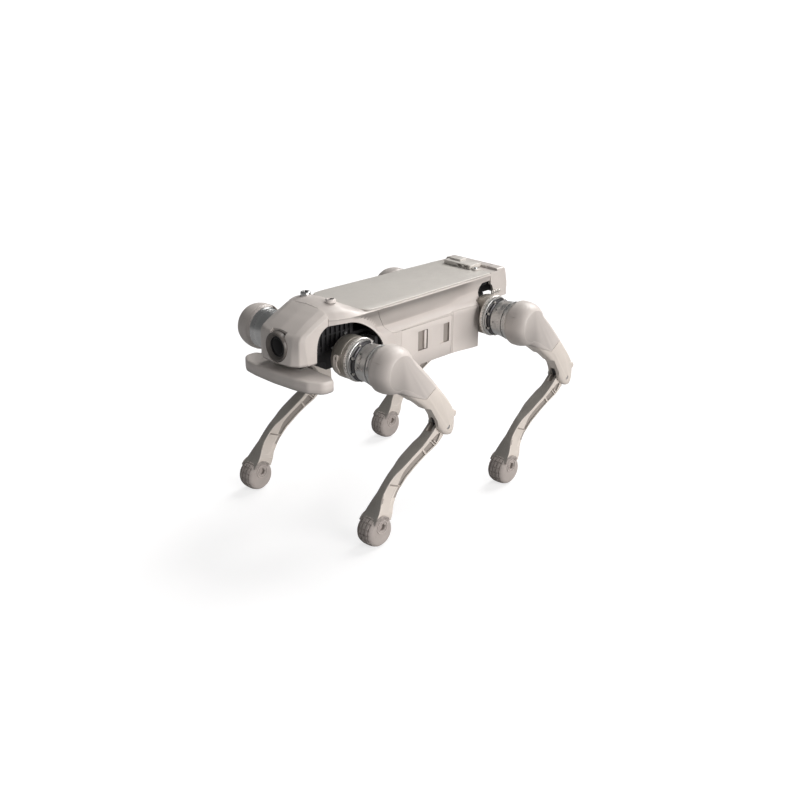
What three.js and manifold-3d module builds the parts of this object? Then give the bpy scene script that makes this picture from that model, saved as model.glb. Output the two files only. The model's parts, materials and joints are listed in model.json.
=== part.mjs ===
// A four-legged walking robot, about the size of a small dog. Millimetres, +X forward, +Y to the
// robot's left, +Z up. The ground is z = 0, and the origin is under the middle of its bounding box.
import * as THREE from 'three';
import { mergeVertices } from 'three/addons/utils/BufferGeometryUtils.js';
import Module from 'manifold-3d';

const wasm = await Module();
wasm.setup();

// ---------- driving dimensions ----------
const WHEELBASE = 335; // between the front and rear foot centres
const GAP = 0.35; // clearance left between touching pieces
const BOX_MIDDLE = -52.8; // middle of the bounding box, from the middle of the wheelbase

const FOOT_RADIUS = 27.7;
const FOOT_HALF_WIDTH = 17;
const FOOT_AHEAD_OF_HIP = 30;
const HIP_HEIGHT = 300;
const HIP_X = [WHEELBASE / 2 - FOOT_AHEAD_OF_HIP, -WHEELBASE / 2 - FOOT_AHEAD_OF_HIP];
const LEG_PLANE = 151.5; // middle of the knee, calf and foot, from the robot's middle plane

const ROLL_AXIS_Y = 45;
const ROLL_MOTOR_RADIUS = 18;
const BRACKET_RADIUS = 37.5;
const BRACKET_INNER = { front: 57, rear: 66 };
const MOTOR_INNER = 94;
const THIGH_INNER = 134;
const THIGH_OUTER = 183;
const CAP_RADIUS = 40;
const KNEE = new THREE.Vector2(-126, -131); // from the hip axis, in the leg's plane
const CALF_HALF_WIDTH = 11;
const KNEE_FOLD = 50; // degrees each way from the standing pose
const KNEE_STRETCH = 40;
const CALF_ANGLE = -42; // slope of the calf when standing

const PLATE_TOP = 369.5;
const PLATE_THICKNESS = 2.5;
const SHELL_FRONT = 171;
const SHELL_REAR = -221;
const PLATE_FRONT = 104;
const BELLY_BOTTOM = 243;
const WALL = 3;
const SIDE_Y = 67; // outer face of the body's lower side walls
const SEAM_Z = 318;
const ARCH = { behind: 75, ahead: 59, height: 57 };

const BAY = { x0: -110, x1: 17, z0: 246, z1: 315 };

// ---------- materials ----------
const paint = (colour, roughness, metalness = 0) => (
    { color: colour, roughness, metalness }
);
const SHELL_PAINT = paint(0xcfc8c1, 0.42, 0.15);
const PLATE_PAINT = paint(0xc4c1bc, 0.4, 0.2);
const CAST_ALLOY = paint(0xd6cec6, 0.45, 0.3);
const MOTOR_STEEL = paint(0x9fa3a3, 0.28, 0.9);
const BRACKET_ALLOY = paint(0x7d7468, 0.4, 0.7);
const BLACK_PLASTIC = paint(0x17181a, 0.6);
const LENS_GLASS = paint(0x030304, 0.08);
const SOLE_RUBBER = paint(0x8d857e, 0.85);
const BOARD_GREEN = paint(0x23402f, 0.6);

// ---------- small tools ----------
const DEGREE = Math.PI / 180;

function solidOf(geometry) {
    const bare = geometry.clone();
    bare.deleteAttribute('normal');
    bare.deleteAttribute('uv');
    const merged = mergeVertices(bare, 1e-4);
    return new wasm.Manifold(new wasm.Mesh({
        numProp: 3,
        vertProperties: new Float32Array(merged.attributes.position.array),
        triVerts: new Uint32Array(merged.index.array),
    }));
}

function geometryOf(solid) {
    const { vertProperties, triVerts } = solid.getMesh();
    const geometry = new THREE.BufferGeometry();
    geometry.setAttribute('position', new THREE.BufferAttribute(vertProperties, 3));
    geometry.setIndex(new THREE.BufferAttribute(triVerts, 1));
    geometry.computeVertexNormals();
    return geometry;
}

const join = (first, ...others) => others.reduce((sum, part) => sum.add(part), first);
const cut = (first, ...others) => others.reduce((rest, part) => rest.subtract(part), first);

function cuboid(x0, x1, y0, y1, z0, z1) {
    const box = new THREE.BoxGeometry(x1 - x0, y1 - y0, z1 - z0);
    return solidOf(box.translate((x0 + x1) / 2, (y0 + y1) / 2, (z0 + z1) / 2));
}

// A shape drawn in (x, y) and raised from z0 to z1.
function raise(shape, z0, z1, curveSegments = 6) {
    const options = { depth: z1 - z0, bevelEnabled: false, curveSegments };
    return solidOf(new THREE.ExtrudeGeometry(shape, options).translate(0, 0, z0));
}

// A shape drawn in (x, z) and run along Y from y0 to y1.
function runAlongY(shape, y0, y1, curveSegments = 6) {
    const options = { depth: y1 - y0, bevelEnabled: false, curveSegments };
    const geometry = new THREE.ExtrudeGeometry(shape, options);
    return solidOf(geometry.rotateX(Math.PI / 2).translate(0, y1, 0));
}

function rodY(radius, y0, y1, x = 0, z = 0, sides = 20) {
    const rod = new THREE.CylinderGeometry(radius, radius, y1 - y0, sides);
    return solidOf(rod.translate(x, (y0 + y1) / 2, z));
}

function rodX(radius, x0, x1, y, z, sides = 20) {
    const rod = new THREE.CylinderGeometry(radius, radius, x1 - x0, sides);
    return solidOf(rod.rotateZ(-Math.PI / 2).translate((x0 + x1) / 2, y, z));
}

function rodZ(radius, z0, z1, x, y, sides = 20) {
    const rod = new THREE.CylinderGeometry(radius, radius, z1 - z0, sides);
    return solidOf(rod.rotateX(Math.PI / 2).translate(x, y, (z0 + z1) / 2));
}

// Turned about the Y axis: the profile is a list of [radius, y].
function turnedY(profile, sides = 24, x = 0, z = 0) {
    const points = profile.map(([radius, y]) => new THREE.Vector2(radius, y));
    return solidOf(new THREE.LatheGeometry(points, sides).translate(x, 0, z));
}

function roundedRectangle(x0, y0, x1, y1, radius) {
    const shape = new THREE.Shape();
    shape.absarc(x1 - radius, y1 - radius, radius, 0, Math.PI / 2);
    shape.absarc(x0 + radius, y1 - radius, radius, Math.PI / 2, Math.PI);
    shape.absarc(x0 + radius, y0 + radius, radius, Math.PI, 1.5 * Math.PI);
    shape.absarc(x1 - radius, y0 + radius, radius, 1.5 * Math.PI, 2 * Math.PI);
    return shape;
}

// Closed skin through rings of equal length, with both ends filled.
function loft(rings) {
    const count = rings[0].length;
    const index = [];
    const quads = (a, b) => {
        for (let i = 0; i < count; i += 1) {
            const next = (i + 1) % count;
            index.push(a + i, a + next, b + next, a + i, b + next, b + i);
        }
    };
    for (let k = 0; k + 1 < rings.length; k += 1) quads(k * count, (k + 1) * count);
    const fill = (ring, start, flip) => {
        const normal = ringNormal(ring);
        const across = new THREE.Vector3(normal.y, normal.z, normal.x).cross(normal).normalize();
        const up = normal.clone().cross(across);
        const flat = ring.map((p) => new THREE.Vector2(p.dot(across), p.dot(up)));
        for (const [a, b, c] of THREE.ShapeUtils.triangulateShape(flat, [])) {
            index.push(start + a, start + (flip ? c : b), start + (flip ? b : c));
        }
    };
    fill(rings[0], 0, true);
    fill(rings.at(-1), (rings.length - 1) * count, false);
    const points = rings.flat();
    if (signedVolume(points, index) < 0) index.reverse();
    const geometry = new THREE.BufferGeometry().setFromPoints(points);
    geometry.setIndex(index);
    return solidOf(geometry);
}

function ringNormal(ring) {
    const normal = new THREE.Vector3();
    ring.forEach((point, i) => normal.add(point.clone().cross(ring[(i + 1) % ring.length])));
    return normal.normalize();
}

function signedVolume(points, index) {
    let sum = 0;
    for (let i = 0; i < index.length; i += 3) {
        const [a, b, c] = index.slice(i, i + 3).map((k) => points[k]);
        sum += a.dot(b.clone().cross(c)) / 6;
    }
    return sum;
}

// Reads the value at x from a table of [x, value] rows, in rising x.
function along(rows, x) {
    if (x <= rows[0][0]) return rows[0][1];
    const k = rows.findIndex((row) => row[0] >= x);
    if (k < 0) return rows.at(-1)[1];
    const [[x0, v0], [x1, v1]] = [rows[k - 1], rows[k]];
    return v0 + (v1 - v0) * (x - x0) / (x1 - x0);
}

function mirrored(geometry, flipX, flipY) {
    if (flipX) geometry.scale(-1, 1, 1);
    if (flipY) geometry.scale(1, -1, 1);
    if (flipX !== flipY) geometry.index.array.reverse();
    return geometry;
}

const robot = new THREE.Group();
robot.position.x = -BOX_MIDDLE;

function addPiece(parent, name, solid, finish, flipX = false, flipY = false) {
    const geometry = mirrored(geometryOf(solid), flipX, flipY);
    const mesh = new THREE.Mesh(geometry, new THREE.MeshStandardMaterial(finish));
    mesh.name = name;
    parent.add(mesh);
}

// ---------- body shell ----------
const LIP_Y = [[SHELL_REAR, 62.5], [-113, 66.5], [60, 69.5], [SHELL_FRONT, 68]];
const WALL_Y = [[SHELL_REAR, 74], [-176, 74], [-113, SIDE_Y], [SHELL_FRONT, SIDE_Y]];
const LIP_Z = 365;
const SCOOP_DEPTH = 7.5;
const SCOOP_Z = 341;
// The hood ahead of the top plate: a flat crown, and a crease on each side of it.
const CROWN_HALF_WIDTH = 32;
const CREASE_HALF_WIDTH = 48;
const HOOD_TOP = 385;
const CROWN_Z = [[PLATE_FRONT, 370.5], [124, 380.5], [136, HOOD_TOP], [154, HOOD_TOP], [SHELL_FRONT, 380]];
const CREASE_Z = [[PLATE_FRONT, 369.5], [126, 377], [150, 377], [SHELL_FRONT, 374.5]];

function bodyRing(x, inset, floor) {
    const lip = along(LIP_Y, x) - inset;
    const wall = along(WALL_Y, x) - inset;
    const scoop = along(LIP_Y, x) - SCOOP_DEPTH - inset;
    const raised = x > PLATE_FRONT;
    const flat = PLATE_TOP - PLATE_THICKNESS - GAP;
    const half = [
        [CROWN_HALF_WIDTH, (raised ? along(CROWN_Z, x) : flat) - inset],
        [raised ? CREASE_HALF_WIDTH : lip - 2, (raised ? along(CREASE_Z, x) : flat) - inset],
        [lip, LIP_Z - inset],
        [lip - 1.5, LIP_Z - 4 - inset],
        [scoop, SCOOP_Z],
        [scoop + 1.5, SCOOP_Z - 7],
        [wall, SEAM_Z],
        [wall, floor],
    ];
    const mirror = half.map(([y, z]) => [-y, z]).reverse();
    return [...half, ...mirror].map(([y, z]) => new THREE.Vector3(x, y, z));
}

function bodyLoft(x0, x1, inset, floor) {
    const hood = [124, 136, 154].filter((x) => x < x1);
    const stations = [x0, -176, -113, PLATE_FRONT, PLATE_FRONT + 0.01, ...hood, x1];
    return loft(stations.map((x) => bodyRing(x, inset, floor)));
}

// The opening for a front leg: a flat-cornered arch ahead of the hip and a leaning one behind it.
function archCut() {
    const [hipX] = HIP_X;
    const quarter = (reach, power) => Array.from({ length: 9 }, (_, i) => {
        const angle = i * Math.PI / 16;
        return new THREE.Vector2(
            reach * Math.cos(angle) ** (2 / power),
            ARCH.height * Math.sin(angle) ** (2 / power),
        );
    });
    const shape = new THREE.Shape();
    shape.moveTo(hipX + ARCH.ahead, BELLY_BOTTOM - 20);
    for (const { x, y } of quarter(ARCH.ahead, 3.5)) shape.lineTo(hipX + x, HIP_HEIGHT + y);
    for (const { x, y } of quarter(ARCH.behind, 1.5).reverse().slice(1)) {
        shape.lineTo(hipX - x, HIP_HEIGHT + y);
    }
    shape.lineTo(hipX - ARCH.behind, BELLY_BOTTOM - 20);
    return runAlongY(shape, -90, 90);
}

function rearSlot() {
    const front = HIP_X[1] + 21.5;
    const shape = new THREE.Shape();
    shape.moveTo(front, BELLY_BOTTOM - 20);
    shape.lineTo(front, 343);
    shape.quadraticCurveTo(front, 357, front - 12, 357);
    shape.lineTo(SHELL_REAR + 8, 357);
    shape.quadraticCurveTo(SHELL_REAR, 356, SHELL_REAR - 5, 340);
    shape.lineTo(SHELL_REAR - 5, BELLY_BOTTOM - 20);
    return shape;
}

function bodyShell() {
    const outside = bodyLoft(SHELL_REAR, SHELL_FRONT, 0, BELLY_BOTTOM);
    const inside = bodyLoft(SHELL_REAR - 5, SHELL_FRONT - WALL, WALL, BELLY_BOTTOM - 5);
    const rear = runAlongY(rearSlot(), -90, 90, 4);
    const bay = cuboid(BAY.x0 - GAP, BAY.x1 + GAP, 55, 90, BAY.z0 - 8, BAY.z1 + GAP);
    return cut(outside, inside, archCut(), rear, bay);
}

function topPlate() {
    const rear = -220.5;
    const shape = new THREE.Shape();
    shape.moveTo(rear, -62);
    shape.lineTo(0, -68);
    shape.lineTo(80, -68);
    shape.quadraticCurveTo(PLATE_FRONT - 2, -66, PLATE_FRONT - 1, 0);
    shape.quadraticCurveTo(PLATE_FRONT - 2, 66, 80, 68);
    shape.lineTo(0, 68);
    shape.lineTo(rear, 62);
    return raise(shape, PLATE_TOP - PLATE_THICKNESS, PLATE_TOP, 6);
}

// ---------- head ----------
const HEAD_FRONT = 238;
const HEAD_BOTTOM = 296.5;
const HEAD_SIDE = 52;
const LENS = { z: 322.5, radius: 16.8, bezel: 24, back: 229.5, glass: 235, front: 239.5 };

function headRing(x, inset) {
    const crown = along([[SHELL_FRONT, 380], [225, 353.5], [HEAD_FRONT, 346]], x) - inset;
    const crease = along([[SHELL_FRONT, 374.5], [225, 351.5], [HEAD_FRONT, 345]], x) - inset;
    const side = along([[206, HEAD_SIDE], [222, 51], [232, 42], [HEAD_FRONT, 26]], x) - inset;
    const brow = Math.min(along([[SHELL_FRONT, 46.5], [228, 42], [HEAD_FRONT, 22]], x), side - 1);
    const half = [
        [Math.min(CROWN_HALF_WIDTH, brow - 1), crown],
        [brow, crease],
        [side, crease - (side - brow) * 0.9],
        [side, HEAD_BOTTOM + 4 - inset],
        [side - 2, HEAD_BOTTOM - inset],
    ];
    const mirror = half.map(([y, z]) => [-y, z]).reverse();
    return [...half, ...mirror].map(([y, z]) => new THREE.Vector3(x, y, z));
}

function headShell() {
    const rear = SHELL_FRONT + GAP;
    const outside = loft([rear, 206, 222, 232, HEAD_FRONT].map((x) => headRing(x, 0)));
    const inside = loft([rear - 3, 206, 222, 234].map((x) => headRing(x, WALL)));
    const floor = cuboid(rear - 5, 234, -60, 60, HEAD_BOTTOM - 5, HEAD_BOTTOM + 0.01);
    const bezelHole = rodX(LENS.bezel + GAP, 210, 260, 0, LENS.z, 24);
    return cut(outside, inside, floor, archCut(), bezelHole);
}

function lensBezel() {
    const ring = rodX(LENS.bezel, LENS.back - 3, LENS.front, 0, LENS.z, 24);
    return cut(ring, rodX(LENS.radius + GAP, LENS.back, 260, 0, LENS.z, 24));
}

function chinBumper() {
    const halfWidth = 92;
    const shape = new THREE.Shape();
    shape.moveTo(187, -74);
    shape.quadraticCurveTo(187, -halfWidth, 204, -halfWidth);
    shape.quadraticCurveTo(236, -halfWidth + 1, 239.5, -56);
    shape.quadraticCurveTo(244, 0, 239.5, 56);
    shape.quadraticCurveTo(236, halfWidth - 1, 204, halfWidth);
    shape.quadraticCurveTo(187, halfWidth, 187, 74);
    shape.quadraticCurveTo(178, 0, 187, -74);
    return raise(shape, 265.5, 283, 7);
}

// ---------- inside the body ----------
const DECK_Z = 318;

function chassisFrame() {
    const deck = cuboid(-215, 150, -30, 30, DECK_Z, DECK_Z + 5);
    const frontBeam = cuboid(70, 206, -22, 22, 268, DECK_Z);
    const chinPost = cuboid(190, 206, -22, 22, 260, 290);
    const rearBeam = cuboid(-250, -130, -22, 22, 266, DECK_Z);
    const frontWall = cuboid(69, 75, -61, 61, 262, DECK_Z);
    const rearWall = cuboid(-135, -129, -61, 61, 262, DECK_Z);
    const chinSpace = cuboid(150, 250, -30, 30, 255, 283 + GAP);
    return cut(join(deck, frontBeam, chinPost, rearBeam, frontWall, rearWall), chinSpace);
}

function mainBoard() {
    const board = cuboid(-90, 40, -28, 28, 326, 328);
    const processor = cuboid(-20, 8, -14, 14, 328, 333);
    const connectors = cuboid(-80, -66, -22, 22, 328, 336);
    const feet = cuboid(-70, 20, -4, 4, DECK_Z + 5 + GAP, 326);
    return join(board, processor, connectors, feet);
}

function rearCap() {
    const front = SHELL_REAR - GAP;
    const profile = new THREE.Shape();
    profile.moveTo(front, 319);
    profile.lineTo(front, 373);
    profile.quadraticCurveTo(-252, 376, -257, 368);
    profile.quadraticCurveTo(-265, 352, -265, 319);
    const outer = runAlongY(profile, -61, 61, 5);
    const hollow = cuboid(-261, -215, -57, 57, 310, 366);
    const ledge = cuboid(-240, -215, -70, 70, 369.1, 380);
    const face = cuboid(-270, -200, -22.4, 22.4, 300, 319.5);
    return cut(outer, hollow, ledge, face);
}

const BUTTON = { x: -213, y: 39.5, radius: 4, base: 371, top: 374.6 };

function portBlock() {
    const outline = roundedRectangle(-239, -38, -207, 33, 3);
    const block = raise(outline, PLATE_TOP + GAP, 377, 2);
    const cover = cuboid(-236, -214, -30, -4, 376, 380);
    const boss = rodZ(7, PLATE_TOP + GAP, 373, BUTTON.x, BUTTON.y, 16);
    const bore = rodZ(BUTTON.radius + GAP, 360, 390, BUTTON.x, BUTTON.y, 16);
    return cut(join(block, cover, boss), bore);
}

function batteryCover() {
    const { x0, x1, z0, z1 } = BAY;
    const panel = cuboid(x0, x1, 63.2, SIDE_Y, BELLY_BOTTOM, z1);
    const handle = cuboid(-12, 4, 64.8, 80, 258, 292);
    const grip = cuboid(-76, -58, 64.8, 80, 258, 292);
    const track = cuboid(-22, -13, 64.8, 80, 258, 294);
    return cut(panel, handle, grip, track);
}

addPiece(robot, 'body_shell', bodyShell(), SHELL_PAINT);
addPiece(robot, 'top_plate', topPlate(), PLATE_PAINT);
addPiece(robot, 'head_shell', headShell(), SHELL_PAINT);
addPiece(robot, 'lens_bezel', lensBezel(), SHELL_PAINT);
const lens = rodX(LENS.radius, LENS.back + GAP, LENS.glass, 0, LENS.z, 24);
addPiece(robot, 'camera_lens', lens, LENS_GLASS);
addPiece(robot, 'chin_bumper', chinBumper(), SHELL_PAINT);
addPiece(robot, 'chassis_frame', chassisFrame(), BLACK_PLASTIC);
const belly = cuboid(-172, 60, -63.4, 63.4, BELLY_BOTTOM, BELLY_BOTTOM + WALL);
const bellyNotch = cuboid(BAY.x0 - 1, BAY.x1 + 1, 62.6, 70, 240, 250);
addPiece(robot, 'belly_plate', cut(belly, bellyNotch), BLACK_PLASTIC);
addPiece(robot, 'main_board', mainBoard(), BOARD_GREEN);
addPiece(robot, 'rear_cap', rearCap(), SHELL_PAINT);
addPiece(robot, 'port_block', portBlock(), PLATE_PAINT);
for (const [side, y] of [['left', 30], ['right', -30]]) {
    const stud = join(
        rodZ(8.5, HOOD_TOP + GAP, 389, 145, y, 16),
        rodZ(7, 389, 391, 145, y, 16),
    );
    addPiece(robot, `${side}_top_stud`, stud, MOTOR_STEEL);
}
const pack = cuboid(BAY.x0 + 4, BAY.x1 - 4, -46, 63.2 - GAP, 248, 312);
addPiece(robot, 'battery_pack', pack, BLACK_PLASTIC);
addPiece(robot, 'battery_cover', batteryCover(), SHELL_PAINT);
const latch = cuboid(-17, -13.5, 65.2, SIDE_Y + 0.6, 261, 291);
addPiece(robot, 'battery_latch', latch, SHELL_PAINT);
const button = rodZ(BUTTON.radius, BUTTON.base, BUTTON.top, BUTTON.x, BUTTON.y, 16);
addPiece(robot, 'power_button', button, MOTOR_STEEL);

// ---------- legs, drawn about the hip axis ----------
function hipBracket(inner, farSide) {
    const keep = 20; // the disc is cut flat on the side facing the body's middle
    const disc = rodY(BRACKET_RADIUS, inner, MOTOR_INNER - GAP, 0, 0, 24);
    const flatCut = cuboid(-60, -keep, 0, 120, -60, 60);
    const endCut = cuboid(farSide, 60, 0, 80, -60, 60);
    const flange = rodX(ROLL_MOTOR_RADIUS, -keep, -keep + 7, ROLL_AXIS_Y, 0, 16);
    const arm = cuboid(-keep, -keep + 7, ROLL_AXIS_Y, 75, -17, 17);
    const pocket = rodY(24, 50, 84, 4, 0, 12);
    return join(cut(disc, flatCut, endCut, pocket), flange, arm);
}

function hipMotor() {
    const outer = THIGH_INNER - GAP;
    return turnedY([
        [0, MOTOR_INNER], [34.3, MOTOR_INNER], [34.3, 98], [31, 100], [31, 120],
        [34.5, outer], [0, outer],
    ], 20);
}

// Anticlockwise from the front of the round cap: over the top, down the back to the hood behind
// the knee, and up the hollow front.
function thighOutline() {
    const cap = new THREE.EllipseCurve(0, 0, CAP_RADIUS, CAP_RADIUS, -98 * DEGREE, 156 * DEGREE);
    const back = [[-63, -9], [-89, -35], [-114, -62], [-134, -84], [-147, -103], [-150, -122]];
    const hood = [[-141, -151], [-112, -137], [-93, -112]];
    const front = [[-83, -93], [-74, -78], [-56, -64], [-32, -51]];
    const rest = [...back, ...hood, ...front].map(([x, z]) => new THREE.Vector2(x, z));
    return [...cap.getPoints(13), ...rest];
}

// The outer face falls towards the knee; t is 0 at the hip and 1 at the knee.
const thighTop = (x, z) => THIGH_OUTER - 12 * (x * KNEE.x + z * KNEE.y) / KNEE.lengthSq();

function thighBlank() {
    const outline = thighOutline();
    const count = outline.length;
    const inward = outline.map((point, i) => {
        const before = outline[(i + count - 1) % count];
        const after = outline[(i + 1) % count];
        const direction = after.clone().sub(before).normalize();
        return new THREE.Vector2(-direction.y, direction.x);
    });
    const level = (inset, height) => outline.map((p, i) => {
        const x = p.x + inward[i].x * inset;
        const z = p.y + inward[i].y * inset;
        return new THREE.Vector3(x, height(x, z), z);
    });
    return loft([
        level(5, () => THIGH_INNER),
        level(1.5, () => THIGH_INNER + 6),
        level(0, () => THIGH_INNER + 12),
        level(0, (x, z) => thighTop(x, z) - 17),
        level(3.5, (x, z) => thighTop(x, z) - 6),
        level(10, (x, z) => thighTop(x, z)),
    ]);
}

// Room for the calf to turn about the knee, as a fan between its two limits.
function kneeSweep(halfWidth, reach) {
    const low = (CALF_ANGLE - KNEE_STRETCH) * DEGREE;
    const high = (CALF_ANGLE + KNEE_FOLD) * DEGREE;
    const at = (angle, out, sideways) => new THREE.Vector2(
        KNEE.x + Math.cos(angle) * out - Math.sin(angle) * sideways,
        KNEE.y + Math.sin(angle) * out + Math.cos(angle) * sideways,
    );
    const shape = new THREE.Shape([
        at(low, 0, -halfWidth),
        at(low, reach, -halfWidth),
        at((low + high) / 2, reach * 1.3, 0),
        at(high, reach, halfWidth),
        at(high, 0, halfWidth),
    ]);
    shape.absarc(KNEE.x, KNEE.y, halfWidth, high + Math.PI / 2, low + 1.5 * Math.PI);
    return shape;
}

const beltPath = new THREE.SplineCurve([
    new THREE.Vector2(0, 0),
    new THREE.Vector2(-28, -17),
    new THREE.Vector2(-72, -51),
    new THREE.Vector2(-96, -75),
    new THREE.Vector2(-115, -104),
    KNEE,
]);

// A loop round the belt's path, at a distance from it.
function beltLoop(distance) {
    const steps = 8;
    const side = (sign) => Array.from({ length: steps + 1 }, (_, i) => {
        const point = beltPath.getPoint(i / steps);
        const tangent = beltPath.getTangent(i / steps);
        return new THREE.Vector2(
            point.x - tangent.y * distance * sign,
            point.y + tangent.x * distance * sign,
        );
    });
    const turn = (centre, from) => Array.from({ length: 4 }, (_, i) => {
        const angle = from + (i + 1) * Math.PI / 5;
        return new THREE.Vector2(
            centre.x + Math.cos(angle) * distance,
            centre.y + Math.sin(angle) * distance,
        );
    });
    const end = beltPath.getTangent(1).angle();
    const start = beltPath.getTangent(0).angle();
    return [
        ...side(-1),
        ...turn(KNEE, end - Math.PI / 2),
        ...side(1).reverse(),
        ...turn(new THREE.Vector2(0, 0), start + Math.PI / 2),
    ];
}

const BELT_INSIDE = 9.5;
const BELT_OUTSIDE = 11;
const PULLEY_RADIUS = 8.8;
const BELT_HALF_WIDTH = 3.5;

function kneeBelt() {
    const shape = new THREE.Shape(beltLoop(BELT_OUTSIDE));
    shape.holes.push(new THREE.Path(beltLoop(BELT_INSIDE)));
    return runAlongY(shape, LEG_PLANE - BELT_HALF_WIDTH, LEG_PLANE + BELT_HALF_WIDTH);
}

const MOTOR_POCKET = { radius: 30, y0: 137, y1: 168 };
const COVER_SPLIT = 160;

function thighPieces() {
    const blank = thighBlank();
    const reach = 90;
    const slot = CALF_HALF_WIDTH + 1;
    const sweep = runAlongY(kneeSweep(18.5, reach), LEG_PLANE - slot, LEG_PLANE + slot, 6);
    const beltChannel = runAlongY(
        new THREE.Shape(beltLoop(BELT_OUTSIDE + 2)),
        LEG_PLANE - BELT_HALF_WIDTH - 1.5,
        LEG_PLANE + BELT_HALF_WIDTH + 1.5,
    );
    const { radius, y0, y1 } = MOTOR_POCKET;
    const motorPocket = rodY(radius, y0, y1, 0, 0, 16);
    const pinBore = rodY(4.4 + GAP, 100, 220, KNEE.x, KNEE.y, 10);
    const window = runAlongY(new THREE.Shape([
        new THREE.Vector2(-70, -70),
        new THREE.Vector2(-94, -87),
        new THREE.Vector2(-116, -110),
        new THREE.Vector2(-119, -150),
        new THREE.Vector2(-60, -150),
    ]), LEG_PLANE + 4, 220);
    const hollow = cut(blank, sweep, beltChannel, motorPocket, pinBore, window);
    const coverArea = (grow) => new THREE.Shape([
        new THREE.Vector2(60, 60),
        new THREE.Vector2(-60, 60),
        new THREE.Vector2(-122 - grow, -40 - grow),
        new THREE.Vector2(-79 - grow, -90 - grow),
        new THREE.Vector2(-40, -90),
        new THREE.Vector2(60, -60),
    ]);
    const frame = cut(hollow, runAlongY(coverArea(GAP), COVER_SPLIT, 220));
    const cover = hollow.intersect(runAlongY(coverArea(0), COVER_SPLIT + GAP, 220));
    return { frame, cover };
}

function kneeMotor() {
    const { radius, y0 } = MOTOR_POCKET;
    const beltBottom = LEG_PLANE - BELT_HALF_WIDTH - GAP;
    const beltTop = LEG_PLANE + BELT_HALF_WIDTH + GAP;
    return turnedY([
        [0, y0 + GAP], [radius - 1, y0 + GAP], [radius - 1, beltBottom - 1],
        [PULLEY_RADIUS, beltBottom - 1], [PULLEY_RADIUS, beltTop + 2],
        [0, beltTop + 2],
    ], 16);
}

function kneePin() {
    const head = 7;
    const inner = THIGH_INNER;
    const outer = thighTop(KNEE.x, KNEE.y);
    return join(
        rodY(4, inner - 2, outer + 2, KNEE.x, KNEE.y, 10),
        rodY(head, inner - 3, inner - GAP, KNEE.x, KNEE.y, 12),
        rodY(head, outer + 0.9, outer + 2.6, KNEE.x, KNEE.y, 12),
    );
}

// The calf from the knee down: front edge x, z; back edge x, z; half width.
const CALF_SECTIONS = [
    [-109, -126, -124, -147, 10.5],
    [-89, -143, -104, -158, 10.5],
    [-70, -154, -81, -168, 11.7],
    [-44, -168, -54, -182, 11],
    [-23, -181, -35, -195, 8.4],
    [-11, -188, -26, -201, 7],
    [3, -200, -17, -209, 6.3],
    [14, -212, -9.5, -219, 6.6],
    [22, -222, -5, -229, 9],
    [27, -230, -2.5, -236, 12],
    [33, -246, 0.5, -248, 17],
    [35, -253, 3, -256, 17],
];

function calfBlank(grow) {
    return loft(CALF_SECTIONS.map(([frontX, frontZ, backX, backZ, half]) => {
        const front = new THREE.Vector2(frontX, frontZ);
        const back = new THREE.Vector2(backX, backZ);
        const forward = front.clone().sub(back).normalize();
        front.addScaledVector(forward, grow);
        back.addScaledVector(forward, -grow);
        const depth = front.distanceTo(back);
        const width = half + grow;
        const corner = Math.min(2, width / 3);
        const outline = [
            [0, width - corner], [corner, width], [depth - corner, width * 0.92],
            [depth, width * 0.92 - corner],
        ];
        const ring = [...outline, ...outline.map(([d, y]) => [d, -y]).reverse()];
        return ring.map(([d, y]) => new THREE.Vector3(
            front.x - forward.x * d, LEG_PLANE + y, front.y - forward.y * d,
        ));
    }));
}

const HUB_RADIUS = 15.5;
const BELT_GROOVE_RADIUS = 29; // the folded calf stays clear of the belt
const ANKLE = new THREE.Vector2(FOOT_AHEAD_OF_HIP - 1, -263);

function calf() {
    const y0 = LEG_PLANE - CALF_HALF_WIDTH;
    const y1 = LEG_PLANE + CALF_HALF_WIDTH;
    const hub = rodY(HUB_RADIUS, y0, y1, KNEE.x, KNEE.y, 16);
    const tongue = rodY(12, LEG_PLANE - 8, LEG_PLANE + 8, ANKLE.x, ANKLE.y, 14);
    const groove = cut(
        rodY(BELT_GROOVE_RADIUS, LEG_PLANE - 4.5, LEG_PLANE + 4.5, KNEE.x, KNEE.y, 16),
        rodY(PULLEY_RADIUS, LEG_PLANE - 5, LEG_PLANE + 5, KNEE.x, KNEE.y, 16),
    );
    const bore = rodY(4.4 + GAP, 100, 220, KNEE.x, KNEE.y, 10);
    return cut(join(calfBlank(0), hub, tongue), groove, bore);
}

function footPad() {
    const w = FOOT_HALF_WIDTH;
    const y = LEG_PLANE;
    const ball = turnedY([
        [0, y - w], [18, y - w], [24.5, y - w + 4], [FOOT_RADIUS, y - 4],
        [FOOT_RADIUS, y + 4], [24.5, y + w - 4], [18, y + w], [0, y + w],
    ], 22, FOOT_AHEAD_OF_HIP, FOOT_RADIUS - HIP_HEIGHT);
    const socket = rodY(12 + GAP, y - 8 - GAP, y + 8 + GAP, ANKLE.x, ANKLE.y, 14);
    return cut(ball, calfBlank(GAP), socket);
}

function rollMotor() {
    const face = -20 - GAP;
    const rear = face - 41;
    return join(
        rodX(ROLL_MOTOR_RADIUS, rear, face, ROLL_AXIS_Y, 0, 20),
        rodX(8, rear - 0.5, rear, ROLL_AXIS_Y, 0, 8),
    );
}

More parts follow.
